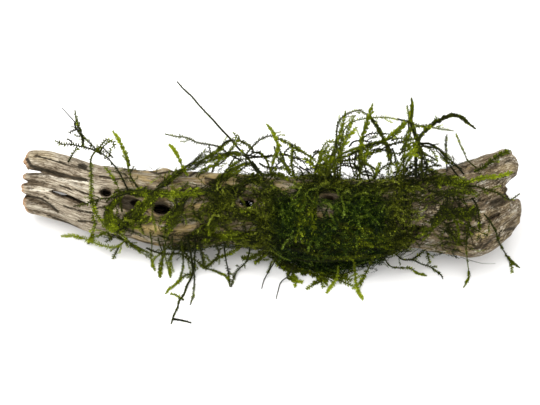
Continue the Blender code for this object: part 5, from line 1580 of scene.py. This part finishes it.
# %% [markdown]
# Each free shoot also has short side shoots, as java moss branches all along, many on the leafy kinds and
# none on the spears. They leave their stem sideways and bend forward again.

# %% Lay the free shoots and their side shoots
FREE_MOTTLE = 0.24
SWAY = 0.12 * MM
LEAST_STEM_HEIGHT, LEAST_TWIG_HEIGHT = 0.25 * MM, 0.2 * MM
TWIG_POINTS = 7
TWIG_STEM, TWIG_LEAF, TWIG_SPACING, TWIG_BARE = 0.09 * MM, (0.42 * MM, 0.62 * MM), 0.30 * MM, 0.05


def side_shoot(path, facing, at, way):
    """A short path that leaves a stem at a point and bends forward."""
    ahead = unit(np.gradient(path, axis=0))[at]
    out = unit(np.cross(ahead, facing)) * way + facing * CHANCE.normal(0, 0.45)
    length = CHANCE.uniform(1.3, 3.8) * MM
    t = np.linspace(0, 1, TWIG_POINTS)[:, None]
    twig = path[at] + ahead * (0.45 * t + 0.35 * t**2) * length + out * (0.75 * t - 0.2 * t**2) * length
    twig[:, 2] = np.maximum(twig[:, 2], LEAST_TWIG_HEIGHT)
    return twig


free = Growth(FREE_MOTTLE)
for kind, tone, columns, rows, depths in strands:
    stem, root_leaf, tip_leaf, spacing, root_age, tip_age, branching = KINDS[kind]
    t = np.linspace(0, 2 * math.pi, STRAND_POINTS)
    sway = SWAY * np.sin(t * CHANCE.uniform(1.5, 3.5) + CHANCE.uniform(0, 6))
    path = seen_at_depth(columns, rows, depths + sway)
    path[:, 2] = np.maximum(path[:, 2], LEAST_STEM_HEIGHT)
    facing = unit(FACING + CHANCE.normal(0, 0.25, 3))
    leaf = (root_leaf * MM, tip_leaf * MM)
    free.shoot(path, facing, spacing * MM, stem * MM, leaf, 0.0, (root_age, tip_age), tone)
    twigs = round(path_length(path) / (10 * MM) * branching + CHANCE.uniform(-0.4, 0.4))
    for _ in range(twigs):
        at = int(CHANCE.uniform(0.08, 0.82) * STRAND_POINTS)
        twig = side_shoot(path, facing, at, CHANCE.choice([-1, 1]))
        age = root_age + (tip_age - root_age) * at / STRAND_POINTS
        free.shoot(twig, facing, TWIG_SPACING, TWIG_STEM, TWIG_LEAF, TWIG_BARE, (age, min(age + 0.45, 1)),
                   tone * CHANCE.uniform(0.7, 1.2))
free_moss = free.piece("moss_shoots", shoot_finish)
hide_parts(*("stem_" + name for name, *_ in RODS))

# %% [markdown]
# A pale floor, a bright even sky, and one large soft light above the stick and a little to its left. It
# makes the top of the wood bright and leaves its underside dark. A second, weaker one fills in from the
# left.

# %% Floor and lights
FLOOR_REACH = 1.5
SKY_STRENGTH = 1.15


def floor_finish():
    finish = Finish("pale_floor")
    mottle = finish.noise(finish.place(), 40.0, 2)
    pale = finish.mix(mottle.within(0.3, 0.7) * 0.3, (0.95, 0.95, 0.95), (0.92, 0.92, 0.92))
    return finish.done(pale, 0.8 + mottle * 0.05, finish.bump(mottle, 0.05, 0.1 * MM))


floor_mesh = bpy.data.meshes.new("floor")
corners = [(x * FLOOR_REACH, y * FLOOR_REACH, 0) for x, y in ((-1, -1), (1, -1), (1, 1), (-1, 1))]
floor_mesh.from_pydata(corners, [], [(0, 1, 2, 3)])
floor_mesh.materials.append(floor_finish())
in_scene("floor", floor_mesh)


def soft_light(name, place, size, watts, colour):
    """A round lamp that points at the stick."""
    lamp = bpy.data.lights.new(name, "AREA")
    lamp.shape = "DISK"
    lamp.size = size
    lamp.energy = watts
    lamp.color = colour
    made = in_scene(name, lamp)
    made.location = place
    made.rotation_euler = (Vector(VIEW_TARGET) - Vector(place)).to_track_quat("-Z", "Y").to_euler()


soft_light("light_above", (-0.12, 0.04, 0.58), 0.60, 3.1, (1.0, 0.98, 0.95))
soft_light("light_left", (-0.50, -0.25, 0.40), 0.35, 0.6, (0.97, 0.98, 1.0))
bpy.context.scene.view_settings.view_transform = "Standard"
world = bpy.data.worlds.new("studio")
bpy.context.scene.world = world
world.use_nodes = True
sky = world.node_tree.nodes["Background"].inputs
sky["Color"].default_value = (1, 1, 1, 1)
sky["Strength"].default_value = SKY_STRENGTH
print("a floor", 2 * FLOOR_REACH, "m wide, two lamps and a sky of strength", SKY_STRENGTH)

# %% [markdown]
